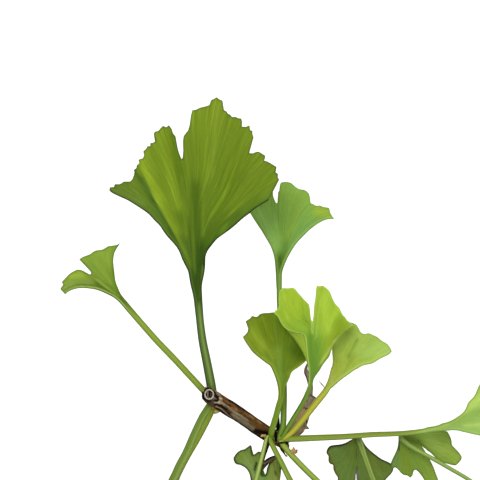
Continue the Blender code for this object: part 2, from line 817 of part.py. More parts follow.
def top_growth():
    """The neck under the main spur, the pruned twig, the old leader's stub and its splinter."""
    knob = sight(281, 433.5, 3.6)
    neck = tube_object(
        "neck",
        [mm(1.4, 2.8, 195), sight(258.5, 476, 6.6), sight(264, 458, 5.6), sight(269, 444, 4.8), knob],
        [1.9 * MM, 1.9 * MM, 1.7 * MM, 1.7 * MM, 1.9 * MM],
        8,
        squeeze=0.55,
    )
    socket = tube_object(
        "spur_face",
        [knob + VIEW_AWAY * 1.5 * MM, spur_tip(MAIN_BUD, -VIEW_AWAY)],
        [1.9 * MM, 1.5 * MM],
        7,
        steps=1,
    )
    cut_facing = (sight(209.5, 395, -9) - sight(240, 413.5, -2)).normalized() - VIEW_AWAY * 0.9
    twig = tube_object(
        "twig",
        [sight(283, 437, 4.6), sight(266, 430.5, 3), sight(240, 413.5, -2.4), sight(209.8, 395, -9)],
        [1.7 * MM, 1.75 * MM, 1.8 * MM, 1.95 * MM],
        10,
        cut_normal=cut_facing.normalized(),
    )
    twig_spur = tube_object(
        "twig_spur",
        [sight(213.4, 398.6, -8.4), spur_tip(TWIG_BUD, VIEW_AWAY)],
        [1.3 * MM, 1.4 * MM],
        7,
        steps=1,
    )
    stub = tube_object(
        "stub",
        [sight(284, 439, 5), sight(297, 426, 5.6), sight(305, 411, 6.6), sight(313, 396.5, 7.6)],
        [1.7 * MM, 2.6 * MM, 2.0 * MM, 1.5 * MM],
        7,
    )
    spike = tube_object(
        "spike",
        [sight(301, 424, 5.6), sight(308.4, 428.4, 5.2)],
        [1.2 * MM, 0.2 * MM],
        5,
        steps=1,
    )
    splinter = tube_object(
        "splinter",
        [sight(309, 402, 7.4), sight(310, 384, 7.6), sight(305.5, 370, 7.8), sight(308, 362, 8)],
        [1.1 * MM, 0.7 * MM, 0.75 * MM, 0.2 * MM],
        5,
        steps=1,
    )
    twiglet = tube_object(
        "twiglet",
        [sight(259, 471, 6), sight(266, 463, 5.6), sight(275, 456.5, 5)],
        [0.9 * MM, 0.6 * MM, 0.35 * MM],
        5,
        steps=1,
    )
    return [neck, socket, twig, twig_spur, stub, spike, splinter, twiglet]


def tree_wood(finish):
    """Roots, trunk, branches, twig and spurs, grown as one piece."""
    body, roots = root_pieces("tree_wood", 0)
    body.name = "tree_wood"
    fuse(body, [*roots, *trunk_and_branches(), *top_growth()])
    body.data.materials.clear()
    body.data.materials.append(finish)
    return body


def turned(name, profile, finish):
    """A solid turned round the vertical axis from (radius, height) points."""
    bm = bmesh.new()
    verts = [bm.verts.new((radius, 0, height)) for radius, height in profile]
    edges = [bm.edges.new(pair) for pair in zip(verts, [*verts[1:], verts[0]])]
    bmesh.ops.spin(
        bm, geom=[*verts, *edges], axis=(0, 0, 1), cent=(0, 0, 0), angle=math.tau,
        steps=TURNED_SIDES, use_merge=True, use_duplicate=False,
    )
    bmesh.ops.remove_doubles(bm, verts=bm.verts, dist=1e-6)
    return add_object(name, bm, finish)


def arc(centre, radius, start, end, steps):
    """Points on a circle arc in the profile, angles in degrees."""
    points = []
    for step in range(steps + 1):
        angle = math.radians(start + (end - start) * step / steps)
        points.append((centre[0] + radius * math.cos(angle), centre[1] + radius * math.sin(angle)))
    return points


def pot_outer_radius(height):
    """The bowl's outer radius between its base and the lip."""
    share = (height - FOOT_HEIGHT) / (POT_HEIGHT - POT_LIP_HEIGHT - FOOT_HEIGHT)
    return FOOT_RADIUS + 4 * MM + (POT_RADIUS - FOOT_RADIUS - 7 * MM) * math.sin(share * math.pi / 2)


def pot(finish):
    """The round clay pot: bowl, lip, floor with a drain hole, and a foot ring with three gaps."""
    lip_low = POT_HEIGHT - POT_LIP_HEIGHT
    bowl = []
    for step in range(5):
        height = FOOT_HEIGHT + (lip_low - FOOT_HEIGHT) * step / 4
        bowl.append((pot_outer_radius(height), height))
    inner = []
    for step in range(4):
        height = lip_low + (POT_FLOOR + 4 * MM - lip_low) * step / 3
        inner.append((pot_outer_radius(height) - POT_WALL, height))
    profile = [
        (FOOT_RADIUS - FOOT_WIDTH, 0),
        (FOOT_RADIUS, 0),
        (FOOT_RADIUS + 0.6 * MM, FOOT_HEIGHT),
        *bowl,
        (POT_RADIUS - 1 * MM, lip_low + 0.6 * MM),
        (POT_RADIUS, lip_low + 2 * MM),
        *arc((POT_RADIUS - 2 * MM, POT_HEIGHT - 2 * MM), 2 * MM, 0, 90, 2),
        *arc((POT_RADIUS - 6.2 * MM, POT_HEIGHT - 1.6 * MM), 1.6 * MM, 90, 180, 2),
        *inner,
        (inner[-1][0] - 4 * MM, POT_FLOOR),
        (DRAIN_RADIUS, POT_FLOOR),
        (DRAIN_RADIUS, FOOT_HEIGHT),
        (FOOT_RADIUS - FOOT_WIDTH - 0.6 * MM, FOOT_HEIGHT),
    ]
    body = turned("pot", profile, finish)
    bm = bmesh.new()
    for index in range(3):
        turn = Matrix.Rotation(math.radians(30 + 120 * index), 4, "Z")
        place = turn @ Matrix.Translation((FOOT_RADIUS - FOOT_WIDTH / 2, 0, 0))
        size = Matrix.Diagonal((FOOT_WIDTH + 4 * MM, 16 * MM, 2 * (FOOT_HEIGHT - 2 * MM), 1))
        bmesh.ops.create_cube(bm, size=1.0, matrix=place @ size)
    cut(body, add_object("foot_gaps", bm, smooth=False))
    apply_modifiers(body)
    return body


def soil(finish):
    """The soil, mounded at the trunk, with a plain hole for the roots."""
    under_screen = POT_FLOOR + GAP + SCREEN_THICKNESS + GAP
    wall = []
    for step in range(4):
        share = step / 3
        height = POT_FLOOR + 4 * MM + (SOIL_EDGE - POT_FLOOR - 4 * MM) * share
        wall.append((pot_outer_radius(min(height, POT_HEIGHT - POT_LIP_HEIGHT)) - POT_WALL - GAP, height))
    crown = []
    for step in range(1, 4):
        share = step / 3
        height = SOIL_EDGE + (SOIL_CROWN - SOIL_EDGE) * math.sin(share * math.pi / 2)
        crown.append((wall[-1][0] * (1 - share), height))
    profile = [
        (0, under_screen),
        (SCREEN_SIZE * 0.73, under_screen),
        (SCREEN_SIZE * 0.75, POT_FLOOR + GAP),
        (wall[0][0] - 4 * MM, POT_FLOOR + GAP),
        *wall,
        *crown,
    ]
    body = turned("soil", profile, finish)
    foot, roots = root_pieces("root_room", GAP * 1.2)
    room = fuse(foot, roots)
    room.name = "root_room"
    cut(body, room)
    apply_modifiers(body)
    return body


def drain_screen(finish):
    """The square mesh over the drain hole."""
    cells = 7
    bm = bmesh.new()
    bmesh.ops.create_grid(bm, x_segments=cells, y_segments=cells, size=SCREEN_SIZE / 2)
    open_cells = []
    for face in bm.faces:
        centre = face.calc_center_median()
        column = int((centre.x / SCREEN_SIZE + 0.5) * cells)
        row = int((centre.y / SCREEN_SIZE + 0.5) * cells)
        if column % 2 and row % 2:
            open_cells.append(face)
    bmesh.ops.delete(bm, geom=open_cells, context="FACES")
    solid = bmesh.ops.extrude_face_region(bm, geom=list(bm.faces), use_keep_orig=True)["geom"]
    top = [item for item in solid if isinstance(item, bmesh.types.BMVert)]
    bmesh.ops.translate(bm, verts=top, vec=(0, 0, SCREEN_THICKNESS))
    bmesh.ops.translate(bm, verts=bm.verts, vec=(0, 0, POT_FLOOR + GAP))
    return add_object("drain_screen", bm, finish, smooth=False)


def main():
    """Builds the pot, its screen, the soil, the wood and the bunches of leaves."""
    clear_scene()
    pot(material("clay", (0.36, 0.24, 0.18), 0.7))
    drain_screen(material("screen", (0.05, 0.05, 0.05), 0.5))
    soil(material("soil", (0.14, 0.09, 0.06), 0.95))
    tree_wood(material("bark", (0.2, 0.13, 0.08), 0.85))
    for index, (name, centre, along, leaves) in enumerate(BUNCHES):
        green = (0.22 + 0.02 * (index % 3), 0.38 + 0.02 * (index % 4), 0.05)
        leaf_bunch(name, centre, along, leaves(), material(name, green, 0.5))


main()
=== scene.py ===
"""The finished look of a ginkgo bonsai in a clay pot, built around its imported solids.

The leaves that the reference view shows are drawn in that view's pixels, and set at a depth in
millimetres behind the spur that most of them grow from. All other leaves have a frame of their own.
"""

import math
import random
from dataclasses import dataclass

import bmesh
import bpy
import numpy as np
from mathutils import Matrix, Vector, noise
from mathutils.kdtree import KDTree


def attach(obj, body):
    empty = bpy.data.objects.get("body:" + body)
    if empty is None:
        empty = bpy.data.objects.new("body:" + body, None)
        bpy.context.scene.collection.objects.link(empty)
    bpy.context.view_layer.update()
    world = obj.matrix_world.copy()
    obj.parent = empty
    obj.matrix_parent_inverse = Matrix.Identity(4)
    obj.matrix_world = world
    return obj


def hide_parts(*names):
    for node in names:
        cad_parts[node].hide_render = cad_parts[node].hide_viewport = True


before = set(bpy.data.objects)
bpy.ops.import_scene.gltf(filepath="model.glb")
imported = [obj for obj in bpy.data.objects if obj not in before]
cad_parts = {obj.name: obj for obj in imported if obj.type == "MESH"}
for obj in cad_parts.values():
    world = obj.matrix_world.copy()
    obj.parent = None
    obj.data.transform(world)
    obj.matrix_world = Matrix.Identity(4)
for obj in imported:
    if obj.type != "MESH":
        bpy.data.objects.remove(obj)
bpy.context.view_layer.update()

bl_info = {
    "name": "Ginkgo Bonsai",
    "version": (1, 0, 0),
    "blender": (4, 5, 0),
    "location": "View3D > Sidebar > Ginkgo",
    "description": "Builds the leaves, wood, soil and pot of a ginkgo bonsai, and its studio",
    "category": "Add Mesh",
}

MM = 0.001
UP = Vector((0, 0, 1))

# The reference view: its scale, the main spur and the direction of sight
PIXEL = 0.3 * MM
MAIN_SPUR = Vector((8, -4, 215)) * MM
MAIN_SPUR_PIXEL = (278, 438)
VIEW_SIZE = 480
VIEW_DISTANCE = 700 * MM
VIEW_TILT = math.radians(8)
VIEW_RIGHT = Vector((1, 0, 0))
VIEW_UP = Vector((0, math.sin(VIEW_TILT), math.cos(VIEW_TILT)))
VIEW_AWAY = Vector((0, math.cos(VIEW_TILT), -math.sin(VIEW_TILT)))
VIEW_AIM = MAIN_SPUR + VIEW_RIGHT * (240 - 278) * PIXEL + VIEW_UP * (438 - 240) * PIXEL
EYE = VIEW_AIM - VIEW_AWAY * VIEW_DISTANCE
SENSOR = 36.0

# How much brighter the studio makes a surface than its own colour, and the white gloss it adds
LIGHT_GAIN = 1.58
GLOSS = 0.006

BUD_LENGTH = 2.6 * MM
BUD_RADIUS = 1.6 * MM
BUD_SCALES = 7
BLADE_HALF = 0.2 * MM
FREE_LEAF_RIBS = 11
FREE_LEAF_BOW = 0.16
SIDE_RIBS_SHORTER = 0.16
FREE_LEAF_ARCH = 0.12
FREE_LEAF_RUFFLE = 1.2
FREE_LEAF_NECK = 1.4 * MM
FREE_LEAF_GRID = (18, 61)
FLAP_GRID = (26, 9)
RIM_STEPS = 3
GAP = 0.3 * MM

# Corners closer than this, in metres, are one. Each leaf and tube has its own stretch of the grain
MERGE = 1e-7
LEAF_APART = 37.0
TUBE_APART = 50


def seen(red, green, blue):
    """The colour that a surface needs to look like this, 0 to 255, in the studio's light."""
    linear = []
    for value in (red, green, blue):
        share = value / 255
        shade = share / 12.92 if share < 0.04045 else ((share + 0.055) / 1.055) ** 2.4
        linear.append(min(max((shade - GLOSS) / LIGHT_GAIN, 0.0012), 0.9))
    return np.array(linear)


def mm(x, y, z):
    """A point given in millimetres."""
    return Vector((x, y, z)) * MM


def mm_all(*values):
    """Lengths given in millimetres."""
    return [value * MM for value in values]


def sight(pixel_x, pixel_y, depth=0.0):
    """The point seen at a pixel of the reference view, that many millimetres behind the main spur."""
    across = VIEW_RIGHT * (pixel_x - MAIN_SPUR_PIXEL[0]) * PIXEL
    upward = VIEW_UP * (MAIN_SPUR_PIXEL[1] - pixel_y) * PIXEL
    on_plane = MAIN_SPUR + across + upward
    return on_plane + (on_plane - EYE) * (depth * MM / VIEW_DISTANCE)


def sights(*points):
    """The points seen at several pixels, each with its depth."""
    return [sight(*point) for point in points]


def sight_grid(x, y, depth):
    """As sight, for arrays of pixels."""
    flat = np.array(MAIN_SPUR) + np.outer((x.ravel() - MAIN_SPUR_PIXEL[0]) * PIXEL, VIEW_RIGHT)
    flat += np.outer((MAIN_SPUR_PIXEL[1] - y.ravel()) * PIXEL, VIEW_UP)
    flat += (flat - np.array(EYE)) * (depth.ravel() * MM / VIEW_DISTANCE)[:, None]
    return flat.reshape(*x.shape, 3)


def pixels_of(points):
    """The pixels of the reference view at which these points show."""
    offset = points - np.array(EYE)
    scale = VIEW_DISTANCE / (offset @ np.array(VIEW_AWAY)) / PIXEL
    x = VIEW_SIZE / 2 + (offset @ np.array(VIEW_RIGHT)) * scale
    y = VIEW_SIZE / 2 - (offset @ np.array(VIEW_UP)) * scale
    return x, y


def smooth_step(value, low, high):
    """Rises softly from 0 at low to 1 at high."""
    share = np.clip((value - low) / (high - low), 0, 1)
    return share * share * (3 - 2 * share)


def bell(value, middle, width):
    """1 at the middle, and less the farther away the value is."""
    return np.exp(-(((value - middle) / width) ** 2))


def lengths_along(points):
    """How far along a line each of its points lies."""
    steps = np.linalg.norm(np.diff(points, axis=0), axis=1)
    return np.concatenate([[0], np.cumsum(steps)])


def curve_through(points, splits, softness=1.0):
    """A curve through the points, with that many steps a span: rounded at softness 1, sharp at 0."""
    given = np.array([tuple(point) for point in points], float)
    ends = np.vstack([given[0] * 2 - given[1], given, given[-1] * 2 - given[-2]])
    t = np.linspace(0, 1, splits, endpoint=False)[:, None]
    rise = t * t * (3 - 2 * t)
    spans = []
    for before, start, end, after in zip(ends, ends[1:], ends[2:], ends[3:]):
        leave = (end - before) * softness / 2
        arrive = (after - start) * softness / 2
        bend = leave * (t - 2 * t**2 + t**3) + arrive * (t**3 - t**2)
        spans.append(start * (1 - rise) + end * rise + bend)
    return np.vstack([*spans, given[-1:]])


def curve_at(points, shares):
    """Points at these shares of the length of a smooth curve through the given ones."""
    dense = curve_through(points, 6)
    length = lengths_along(dense)
    wanted = np.asarray(shares) * length[-1]
    return np.stack([np.interp(wanted, length, values) for values in dense.T], 1)


def new_object(name, bm):
    """A bmesh as an object in the scene."""
    mesh = bpy.data.meshes.new(name)
    bm.to_mesh(mesh)
    bm.free()
    made = bpy.data.objects.new(name, mesh)
    bpy.context.scene.collection.objects.link(made)
    return made


def apply_modifiers(piece):
    """Replaces the piece's mesh with what its modifiers make of it."""
    bpy.context.view_layer.update()
    graph = bpy.context.evaluated_depsgraph_get()
    made = bpy.data.meshes.new_from_object(piece.evaluated_get(graph))
    piece.modifiers.clear()
    piece.data = made
    return made


def unit(vectors):
    """The vectors at length one."""
    return vectors / np.maximum(np.linalg.norm(vectors, axis=-1, keepdims=True), 1e-12)


def new_mesh_layers(bm):
    """The attributes that the materials read: a colour, and millimetres along and across the grain."""
    return bm.verts.layers.float_color.new("tint"), bm.verts.layers.float_vector.new("grain")


def finish_piece(name, bm, finish, nodes, sharp=40):
    """Turns a bmesh into a piece that rides on the body and stands for the given CAD nodes."""
    bmesh.ops.recalc_face_normals(bm, faces=bm.faces)
    piece = new_object(name, bm)
    piece.data.shade_smooth()
    piece.data.set_sharp_from_angle(angle=math.radians(sharp))
    piece.data.materials.append(finish)
    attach(piece, "root")
    if nodes:
        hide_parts(*nodes)
    return piece


def new_grid(bm, rows, columns):
    """The corners of a new flat grid."""
    return bmesh.ops.create_grid(bm, x_segments=columns - 1, y_segments=rows - 1, size=0.5)["verts"]


def place_grid(verts, layers, points, tint, grain):
    """Moves a grid's corners to their points and gives them their attributes."""
    rows, columns = points.shape[:2]
    for vert in verts:
        column = round((vert.co.x + 0.5) * (columns - 1))
        row = round((vert.co.y + 0.5) * (rows - 1))
        vert.co = points[row, column]
        vert[layers[0]] = tint[row, column]
        vert[layers[1]] = grain[row, column]


def grid_shell(bm, layers, mid, normal, half, tint, grain):
    """A closed thin shell on both sides of a grid of points, as thick as half says on each side."""
    front = new_grid(bm, *half.shape)
    sheet = list({face for vert in front for face in vert.link_faces})
    copied = bmesh.ops.extrude_face_region(bm, geom=sheet, use_keep_orig=True)["geom"]
    back = [item for item in copied if isinstance(item, bmesh.types.BMVert)]
    place_grid(front, layers, mid + normal * half[..., None], tint, grain)
    place_grid(back, layers, mid - normal * half[..., None], tint, grain)
    bmesh.ops.remove_doubles(bm, verts=[*front, *back], dist=MERGE)


def closed_skin(bm, layers, points, tint, grain):
    """A closed skin from a grid whose first and last columns meet and whose end rows are poles."""
    made = new_grid(bm, *points.shape[:2])
    place_grid(made, layers, points, tint, grain)
    bmesh.ops.remove_doubles(bm, verts=made, dist=MERGE)


# Leaves


@dataclass
class Palette:
    """Colours of a leaf from its base to its rim, and of its stalk, as they look in the light."""

    base: tuple
    middle: tuple
    rim: tuple
    stalk: tuple
    streaks: float


@dataclass
class DrawnLeaf:
    """A leaf drawn in the pixels of the reference view.

    Left and right run from the stalk towards the rim, whose ends close them. The blade's ribs fan
    out from the centre, and straighten keeps them from bending below a deeply cut rim. The strokes
    paint the blade's own tones, with painted shade in its folds and painted highlights on its lit
    parts. A stroke is from x, from y, to x, to y, width, red, green, blue, strength and, for one
    side only, 1 or -1. An edge is its side, inset, width, colour and strength: the dark edges are
    painted shade where the margin turns away, and the pale ones are painted highlights along lit margins.
    A stalk stroke is its place across the stalk, width, colour and strength; these paint a highlight
    down the stalk's lit side and shade along its edges. A flap is its outer line, inner line and
    colour.
    """

    left: list
    rim: list
    right: list
    centre: tuple
    base: tuple
    stalk: list
    palette: Palette
    widths: tuple
    depth: float = 0.0
    lean: float = 0.1
    turn: float = 0.0
    ruffle: float = 1.0
    waves: float = 2.0
    phase: float = 0.0
    softness: float = 0.8
    straighten: float = 0.0
    rows: int = 30
    strokes: tuple = ()
    edges: tuple = ()
    stalk_strokes: tuple = ()
    flap: tuple = ()


@dataclass
class FreeLeaf:
    """A leaf that the reference view doesn't show: a fan in a frame of its own, in millimetres."""

    base: Vector
    axis: Vector
    face: Vector
    width: float
    length: float
    stalk: list
    palette: Palette
    seed: int
    notch: float = 0.35
    stalk_radius: float = 0.7
    root_radius: float = 0.65
    stalk_strokes: tuple = ()


DEEP_GREEN = Palette((58, 90, 20), (104, 132, 30), (124, 148, 36), (88, 112, 48), 0.85)
LEAF_GREEN = Palette((96, 124, 40), (131, 160, 58), (138, 169, 57), (138, 163, 58), 0.35)
BLUE_GREEN = Palette((100, 140, 46), (126, 172, 76), (144, 184, 76), (116, 152, 58), 0.5)
OLIVE_GREEN = Palette((98, 130, 36), (108, 134, 28), (118, 142, 32), (120, 148, 46), 0.45)
FRESH_GREEN = Palette((108, 150, 52), (140, 176, 50), (160, 192, 52), (112, 146, 48), 0.4)
YELLOW_GREEN = Palette((174, 188, 66), (168, 192, 74), (170, 200, 88), (186, 184, 60), 0.35)
PALE_GREEN = Palette((154, 182, 84), (164, 200, 100), (186, 216, 106), (138, 158, 62), 0.45)
SHADE_GREEN = Palette((102, 122, 50), (106, 130, 58), (112, 136, 64), (146, 172, 84), 0.4)
MID_GREEN = Palette((114, 142, 54), (124, 154, 60), (142, 168, 68), (142, 170, 80), 0.4)
HANGER_GREEN = Palette((110, 140, 50), (124, 152, 54), (134, 160, 62), (140, 164, 62), 0.4)

# Drawn leaves: the strokes and edges of each lay painted shade and painted highlights over its own colours
TALL = DrawnLeaf(
    left=[
        (193.8, 300), (192.5, 293), (190.5, 285), (189.3, 278), (188, 271), (185.5, 266), (182, 259),
        (179, 251), (174.5, 244.5), (169, 238.5), (164.5, 233), (160, 226), (154.5, 220.5), (150, 215.5),
        (146, 212), (140, 208), (133.5, 203.8), (127.5, 200.2), (120, 196.8), (115, 194.5), (112, 192.8),
    ],
    rim=[
        (109.3, 190.6), (110, 187.3), (114, 187), (114.6, 184.4), (119.5, 184.2), (121.5, 183.2),
        (124, 181.6), (130, 181.5), (132.5, 179), (134, 175), (134.6, 172), (134, 170), (136.5, 168),
        (136.8, 165.5), (139.5, 163), (138.5, 160), (140.5, 159), (142.5, 158.5), (144.2, 155.5),
        (143.4, 151.3), (146, 149), (147.5, 146.3), (150.2, 146.2), (150.3, 143.4), (153.5, 142.5),
        (155, 141.2), (154.3, 137), (154, 133), (155.5, 131.5), (158.3, 131), (160.5, 128.3), (163, 125.8),
        (165, 127), (167, 127), (168.7, 125.2), (171.5, 129), (173, 133.5), (175.5, 136.5), (176.5, 142),
        (177.8, 149), (179.5, 154.5), (181.6, 159.3), (182.8, 157), (183.3, 150), (183, 141), (183.8, 136),
        (188, 130.5), (189.7, 125), (191, 116), (192.5, 110.3), (196, 109.8), (200, 107.8), (206, 106.3),
        (209.5, 105), (211.5, 100), (214.5, 98.8), (216.5, 97.2), (219.5, 99.5), (222.3, 100.5), (223, 104),
        (224, 110), (226.5, 111.5), (228, 113.8), (230.2, 114.8), (232, 117), (236, 117), (238, 118.3),
        (241, 118.5), (242, 122), (241.8, 126.5), (246, 126.8), (249.3, 125.5), (250, 130), (252.3, 131),
        (252.3, 134), (253.5, 137.5), (252.3, 141), (250.8, 145), (249.8, 149), (249.3, 153), (253, 153.3),
        (256, 152), (259, 151.8), (262, 153.8), (265, 155.5), (265, 158), (264, 160.5), (267, 161.5),
        (271, 163.5), (274, 165.5), (276.5, 167), (275.5, 172), (278, 174), (277.8, 177), (279.5, 180.5),
        (276.5, 183), (275, 186), (275, 188.5), (272.6, 191), (270.6, 194), (269.6, 198), (268.4, 200.4),
    ],
    right=[
        (202.4, 300), (202.2, 295), (201.8, 288), (202.5, 282), (203.8, 276), (204.8, 270), (205, 262),
        (205.5, 257), (207, 252), (210, 247.5), (214, 242.5), (217, 239), (222, 235.3), (228, 231),
        (235, 225.5), (241, 220), (246, 216), (249.5, 213.5), (254, 209.5), (260, 205.6), (264, 203.2),
    ],
    centre=(197.5, 338), base=(197, 283),
    stalk=[
        (213, 399, -3.7), (211.6, 388, -4.8), (209.1, 374, -6.4), (206, 358, -7.7), (202.8, 342, -8.3),
        (200.6, 326, -8.6), (199, 310, -8.6),
    ],
    palette=DEEP_GREEN, widths=(9.4, 7.6), depth=-8.5, lean=0.16, turn=0.04, ruffle=2.4, waves=2.6,
    phase=0.1, softness=0.3, rows=44,
    strokes=(
        (118, 190, 178, 252, 14, 92, 122, 40, 0.9), (142, 178, 176, 234, 3, 76, 108, 34, 0.5),
        (131, 186, 146, 204, 1.6, 116, 142, 54, 0.6), (147, 177, 160, 206, 1.4, 108, 136, 48, 0.7),
        (152, 204, 172, 236, 1.6, 96, 126, 40, 0.6), (118, 189, 142, 203, 2.2, 116, 138, 50, 0.6),
        (135, 168, 155, 200, 4.5, 76, 108, 38, 0.8, 1), (155, 200, 173, 231, 5.5, 68, 102, 34, 0.85, 1),
        (173, 231, 190, 266, 4.5, 62, 94, 28, 0.85, 1), (137, 160, 155, 199, 10, 150, 176, 42, 0.75, -1),
        (155, 199, 173, 231, 7, 146, 172, 40, 0.8, -1), (173, 231, 190, 266, 3, 120, 146, 34, 0.75, -1),
        (158, 136, 178, 206, 6, 144, 170, 44, 0.6), (172, 136, 184, 200, 3.2, 96, 128, 28, 0.7),
        (185, 134, 188, 196, 3, 112, 142, 30, 0.5), (182, 178, 186, 236, 2.4, 122, 146, 38, 0.5),
        (206, 112, 208, 180, 4, 128, 154, 38, 0.5), (217, 104, 212, 176, 2, 136, 160, 46, 0.45),
        (228, 116, 218, 180, 3, 102, 130, 28, 0.45), (240, 124, 224, 190, 5, 116, 140, 32, 0.4),
        (246, 132, 232, 176, 1.4, 132, 156, 44, 0.4), (264, 168, 232, 206, 5, 118, 140, 34, 0.5),
        (260, 205, 216, 236, 7, 84, 114, 26, 0.7), (238, 214, 216, 236, 4, 72, 102, 22, 0.5),
        (196, 186, 197, 256, 6, 74, 104, 20, 0.8), (204, 186, 203, 236, 1.8, 116, 142, 36, 0.6),
        (192, 204, 194, 262, 1.5, 104, 132, 34, 0.55), (200, 250, 197, 290, 7, 52, 80, 18, 0.75),
        (193, 236, 195, 272, 1.6, 100, 126, 34, 0.6), (203, 268, 201, 298, 1.4, 122, 148, 60, 0.7),
    ),
    edges=(
        ("left", 0.5, 1.1, (34, 54, 12), 0.9), ("left", 2.2, 0.8, (120, 142, 62), 0.35),
        ("right", 0.5, 1.2, (36, 54, 10), 0.9), ("rim", 0.3, 0.9, (58, 84, 16), 0.65),
    ),
    stalk_strokes=(
        (0.04, 0.1, (26, 42, 14), 0.95), (0.3, 0.14, (84, 116, 48), 0.6),
        (0.58, 0.18, (134, 162, 84), 0.88), (0.95, 0.07, (70, 98, 34), 0.8),
    ),
)
TWO_LOBED = DrawnLeaf(
    left=[
        (122.2, 305.6), (118.5, 301.6), (114, 297.8), (110, 295.6), (105, 293.2), (100, 291), (95, 289.5),
        (90, 288.7), (85, 288.2), (80, 288.2), (75, 289), (70, 290.8), (67, 292.8),
    ],
    rim=[
        (65, 294.4), (62.6, 291.4), (60.4, 289), (62, 286.4), (63.2, 284.6), (62, 282), (65, 278.6),
        (69.4, 274), (74.4, 270.9), (78.2, 269.6), (82.8, 271.4), (86.6, 274), (90.2, 274.4), (91.2, 273),
        (90, 270.6), (86.4, 268.4), (82.4, 265.4), (77.8, 261.6), (81.6, 257.6), (85.8, 255.8),
        (89.6, 254.4), (95, 250.8), (101.6, 249.8), (105, 248.2), (108.4, 246.2), (113, 245.6),
        (117, 244.8), (120.5, 242.8),
    ],
    right=[
        (126.9, 301.4), (123.4, 297.4), (120.5, 293.5), (118.5, 289), (116.8, 285), (115.5, 281),
        (114.8, 276), (114.2, 270), (113.5, 265), (113.3, 260), (113.8, 256), (114.8, 252), (116.8, 248.4),
        (118.6, 245.6),
    ],
    centre=(130, 312), base=(120, 299),
    stalk=[
        (213, 399, -3.7), (204, 391, -5.4), (190.1, 376, -8.2), (173.9, 358.5, -10.8),
        (156.6, 340.5, -12.6), (141.2, 323, -13.6), (130.8, 311, -14),
    ],
    palette=LEAF_GREEN, widths=(6.4, 6.2), depth=-14, lean=-0.1, turn=-0.06, waves=1.6, phase=0.35,
    strokes=(
        (117, 298, 96, 283, 4.0, 88, 116, 34, 0.9), (91, 283, 78, 282, 4, 130, 156, 68, 0.6),
        (118, 296, 92, 276, 1.2, 150, 178, 66, 0.85), (95, 277.5, 86, 275.5, 2.6, 128, 142, 46, 0.7),
        (72, 276, 86, 274, 3, 164, 188, 66, 0.7), (64, 288, 72, 284, 3, 148, 172, 84, 0.6),
        (112, 270, 115, 290, 2.6, 112, 150, 40, 0.75), (109, 262, 100, 253, 6, 146, 176, 66, 0.55),
        (84, 262, 98, 270, 2.4, 122, 154, 54, 0.55), (96, 262, 112, 284, 1.6, 150, 178, 64, 0.45),
        (100, 256, 113, 280, 1.2, 124, 156, 50, 0.4), (118, 245, 119, 243.6, 1.2, 84, 104, 30, 0.7),
    ),
    edges=(
        ("left", 0.5, 0.8, (92, 112, 26), 0.85), ("left", 2.0, 0.8, (168, 192, 100), 0.9),
        ("left", 3.6, 0.8, (84, 108, 30), 0.7), ("right", 0.6, 1.0, (96, 126, 30), 0.7),
        ("rim", 0.4, 0.9, (92, 120, 28), 0.75),
    ),
    stalk_strokes=((0.08, 0.12, (118, 140, 40), 0.7), (0.55, 0.16, (158, 180, 76), 0.6)),
)
BACK = DrawnLeaf(
    left=[
        (276.6, 290), (276.1, 283), (275.9, 277), (275.5, 270), (275.1, 265), (274.5, 259), (273.4, 254),
        (271.9, 249.5), (270, 245), (267, 240), (263.5, 234), (260, 228.5), (256, 222.5), (252.4, 217),
        (249.4, 212), (246, 207.6),
    ],
    rim=[
        (243, 204), (246.5, 197.5), (254, 191), (264, 187.4), (270.4, 188), (272.8, 191.5), (273.2, 196),
        (275, 201), (276.8, 203.2), (278.3, 201), (277.6, 196), (278, 192.2), (279.6, 190.2), (280, 185),
        (281.4, 182.5), (286, 181.8), (291, 183), (294.5, 186), (297, 187.8), (300, 189.3), (304, 189.8),
        (307, 191.5), (309, 194), (310, 198), (310.8, 203), (313, 204), (316, 205.7), (320, 205.5),
        (323, 206.8), (327, 207.5), (329.3, 208.3), (330, 212), (332.4, 216.4), (334.5, 219),
    ],
    right=[
        (281.8, 290), (282, 282), (282, 273.5), (283.4, 268), (285, 264), (286.6, 260), (289.5, 254.5),
        (293, 248.5), (296.5, 243.5), (300, 239.5), (305, 234.5), (309, 230.5), (314, 226.5), (319, 223),
        (324, 220.5), (328, 219.3),
    ],
    centre=(279, 312), base=(279, 272),
    stalk=[
        (280, 437, -0.9), (283, 427, 0.3), (283.7, 411, 4), (284, 388, 8), (282, 350, 11),
        (280.4, 320, 12.6), (279.4, 302, 13.6),
    ],
    palette=BLUE_GREEN, widths=(6.2, 5.4), depth=14, turn=-0.05, waves=2.2,
    strokes=(
        (281, 268, 284, 244, 4, 90, 132, 42, 0.85), (280, 256, 280, 246, 3.6, 82, 122, 32, 0.85),
        (260, 214, 276, 246, 8, 154, 200, 100, 0.8), (268, 206, 280, 240, 3, 144, 188, 84, 0.55),
        (284, 196, 282, 232, 4, 132, 172, 66, 0.5), (297, 198, 288, 236, 4.5, 142, 176, 64, 0.6),
        (304, 200, 292, 230, 2.4, 150, 184, 78, 0.5), (318, 210.6, 328, 214, 4.6, 164, 192, 62, 0.86),
        (312, 222, 292, 246, 4, 124, 172, 88, 0.6), (281, 270, 280, 258, 1.5, 58, 90, 24, 0.7),
        (274, 214, 277, 226, 1.2, 156, 196, 96, 0.4),
    ),
    edges=(
        ("left", 0.5, 0.8, (100, 126, 26), 0.75), ("left", 2.0, 0.7, (154, 190, 98), 0.4),
        ("right", 0.5, 0.8, (106, 148, 52), 0.5), ("right", 2.0, 0.9, (166, 202, 106), 0.6),
        ("rim", 0.3, 0.8, (112, 150, 48), 0.5),
    ),
    stalk_strokes=(
        (0.08, 0.1, (78, 112, 34), 0.8), (0.5, 0.18, (144, 174, 66), 0.8), (0.93, 0.09, (84, 118, 36), 0.8),
    ),
)
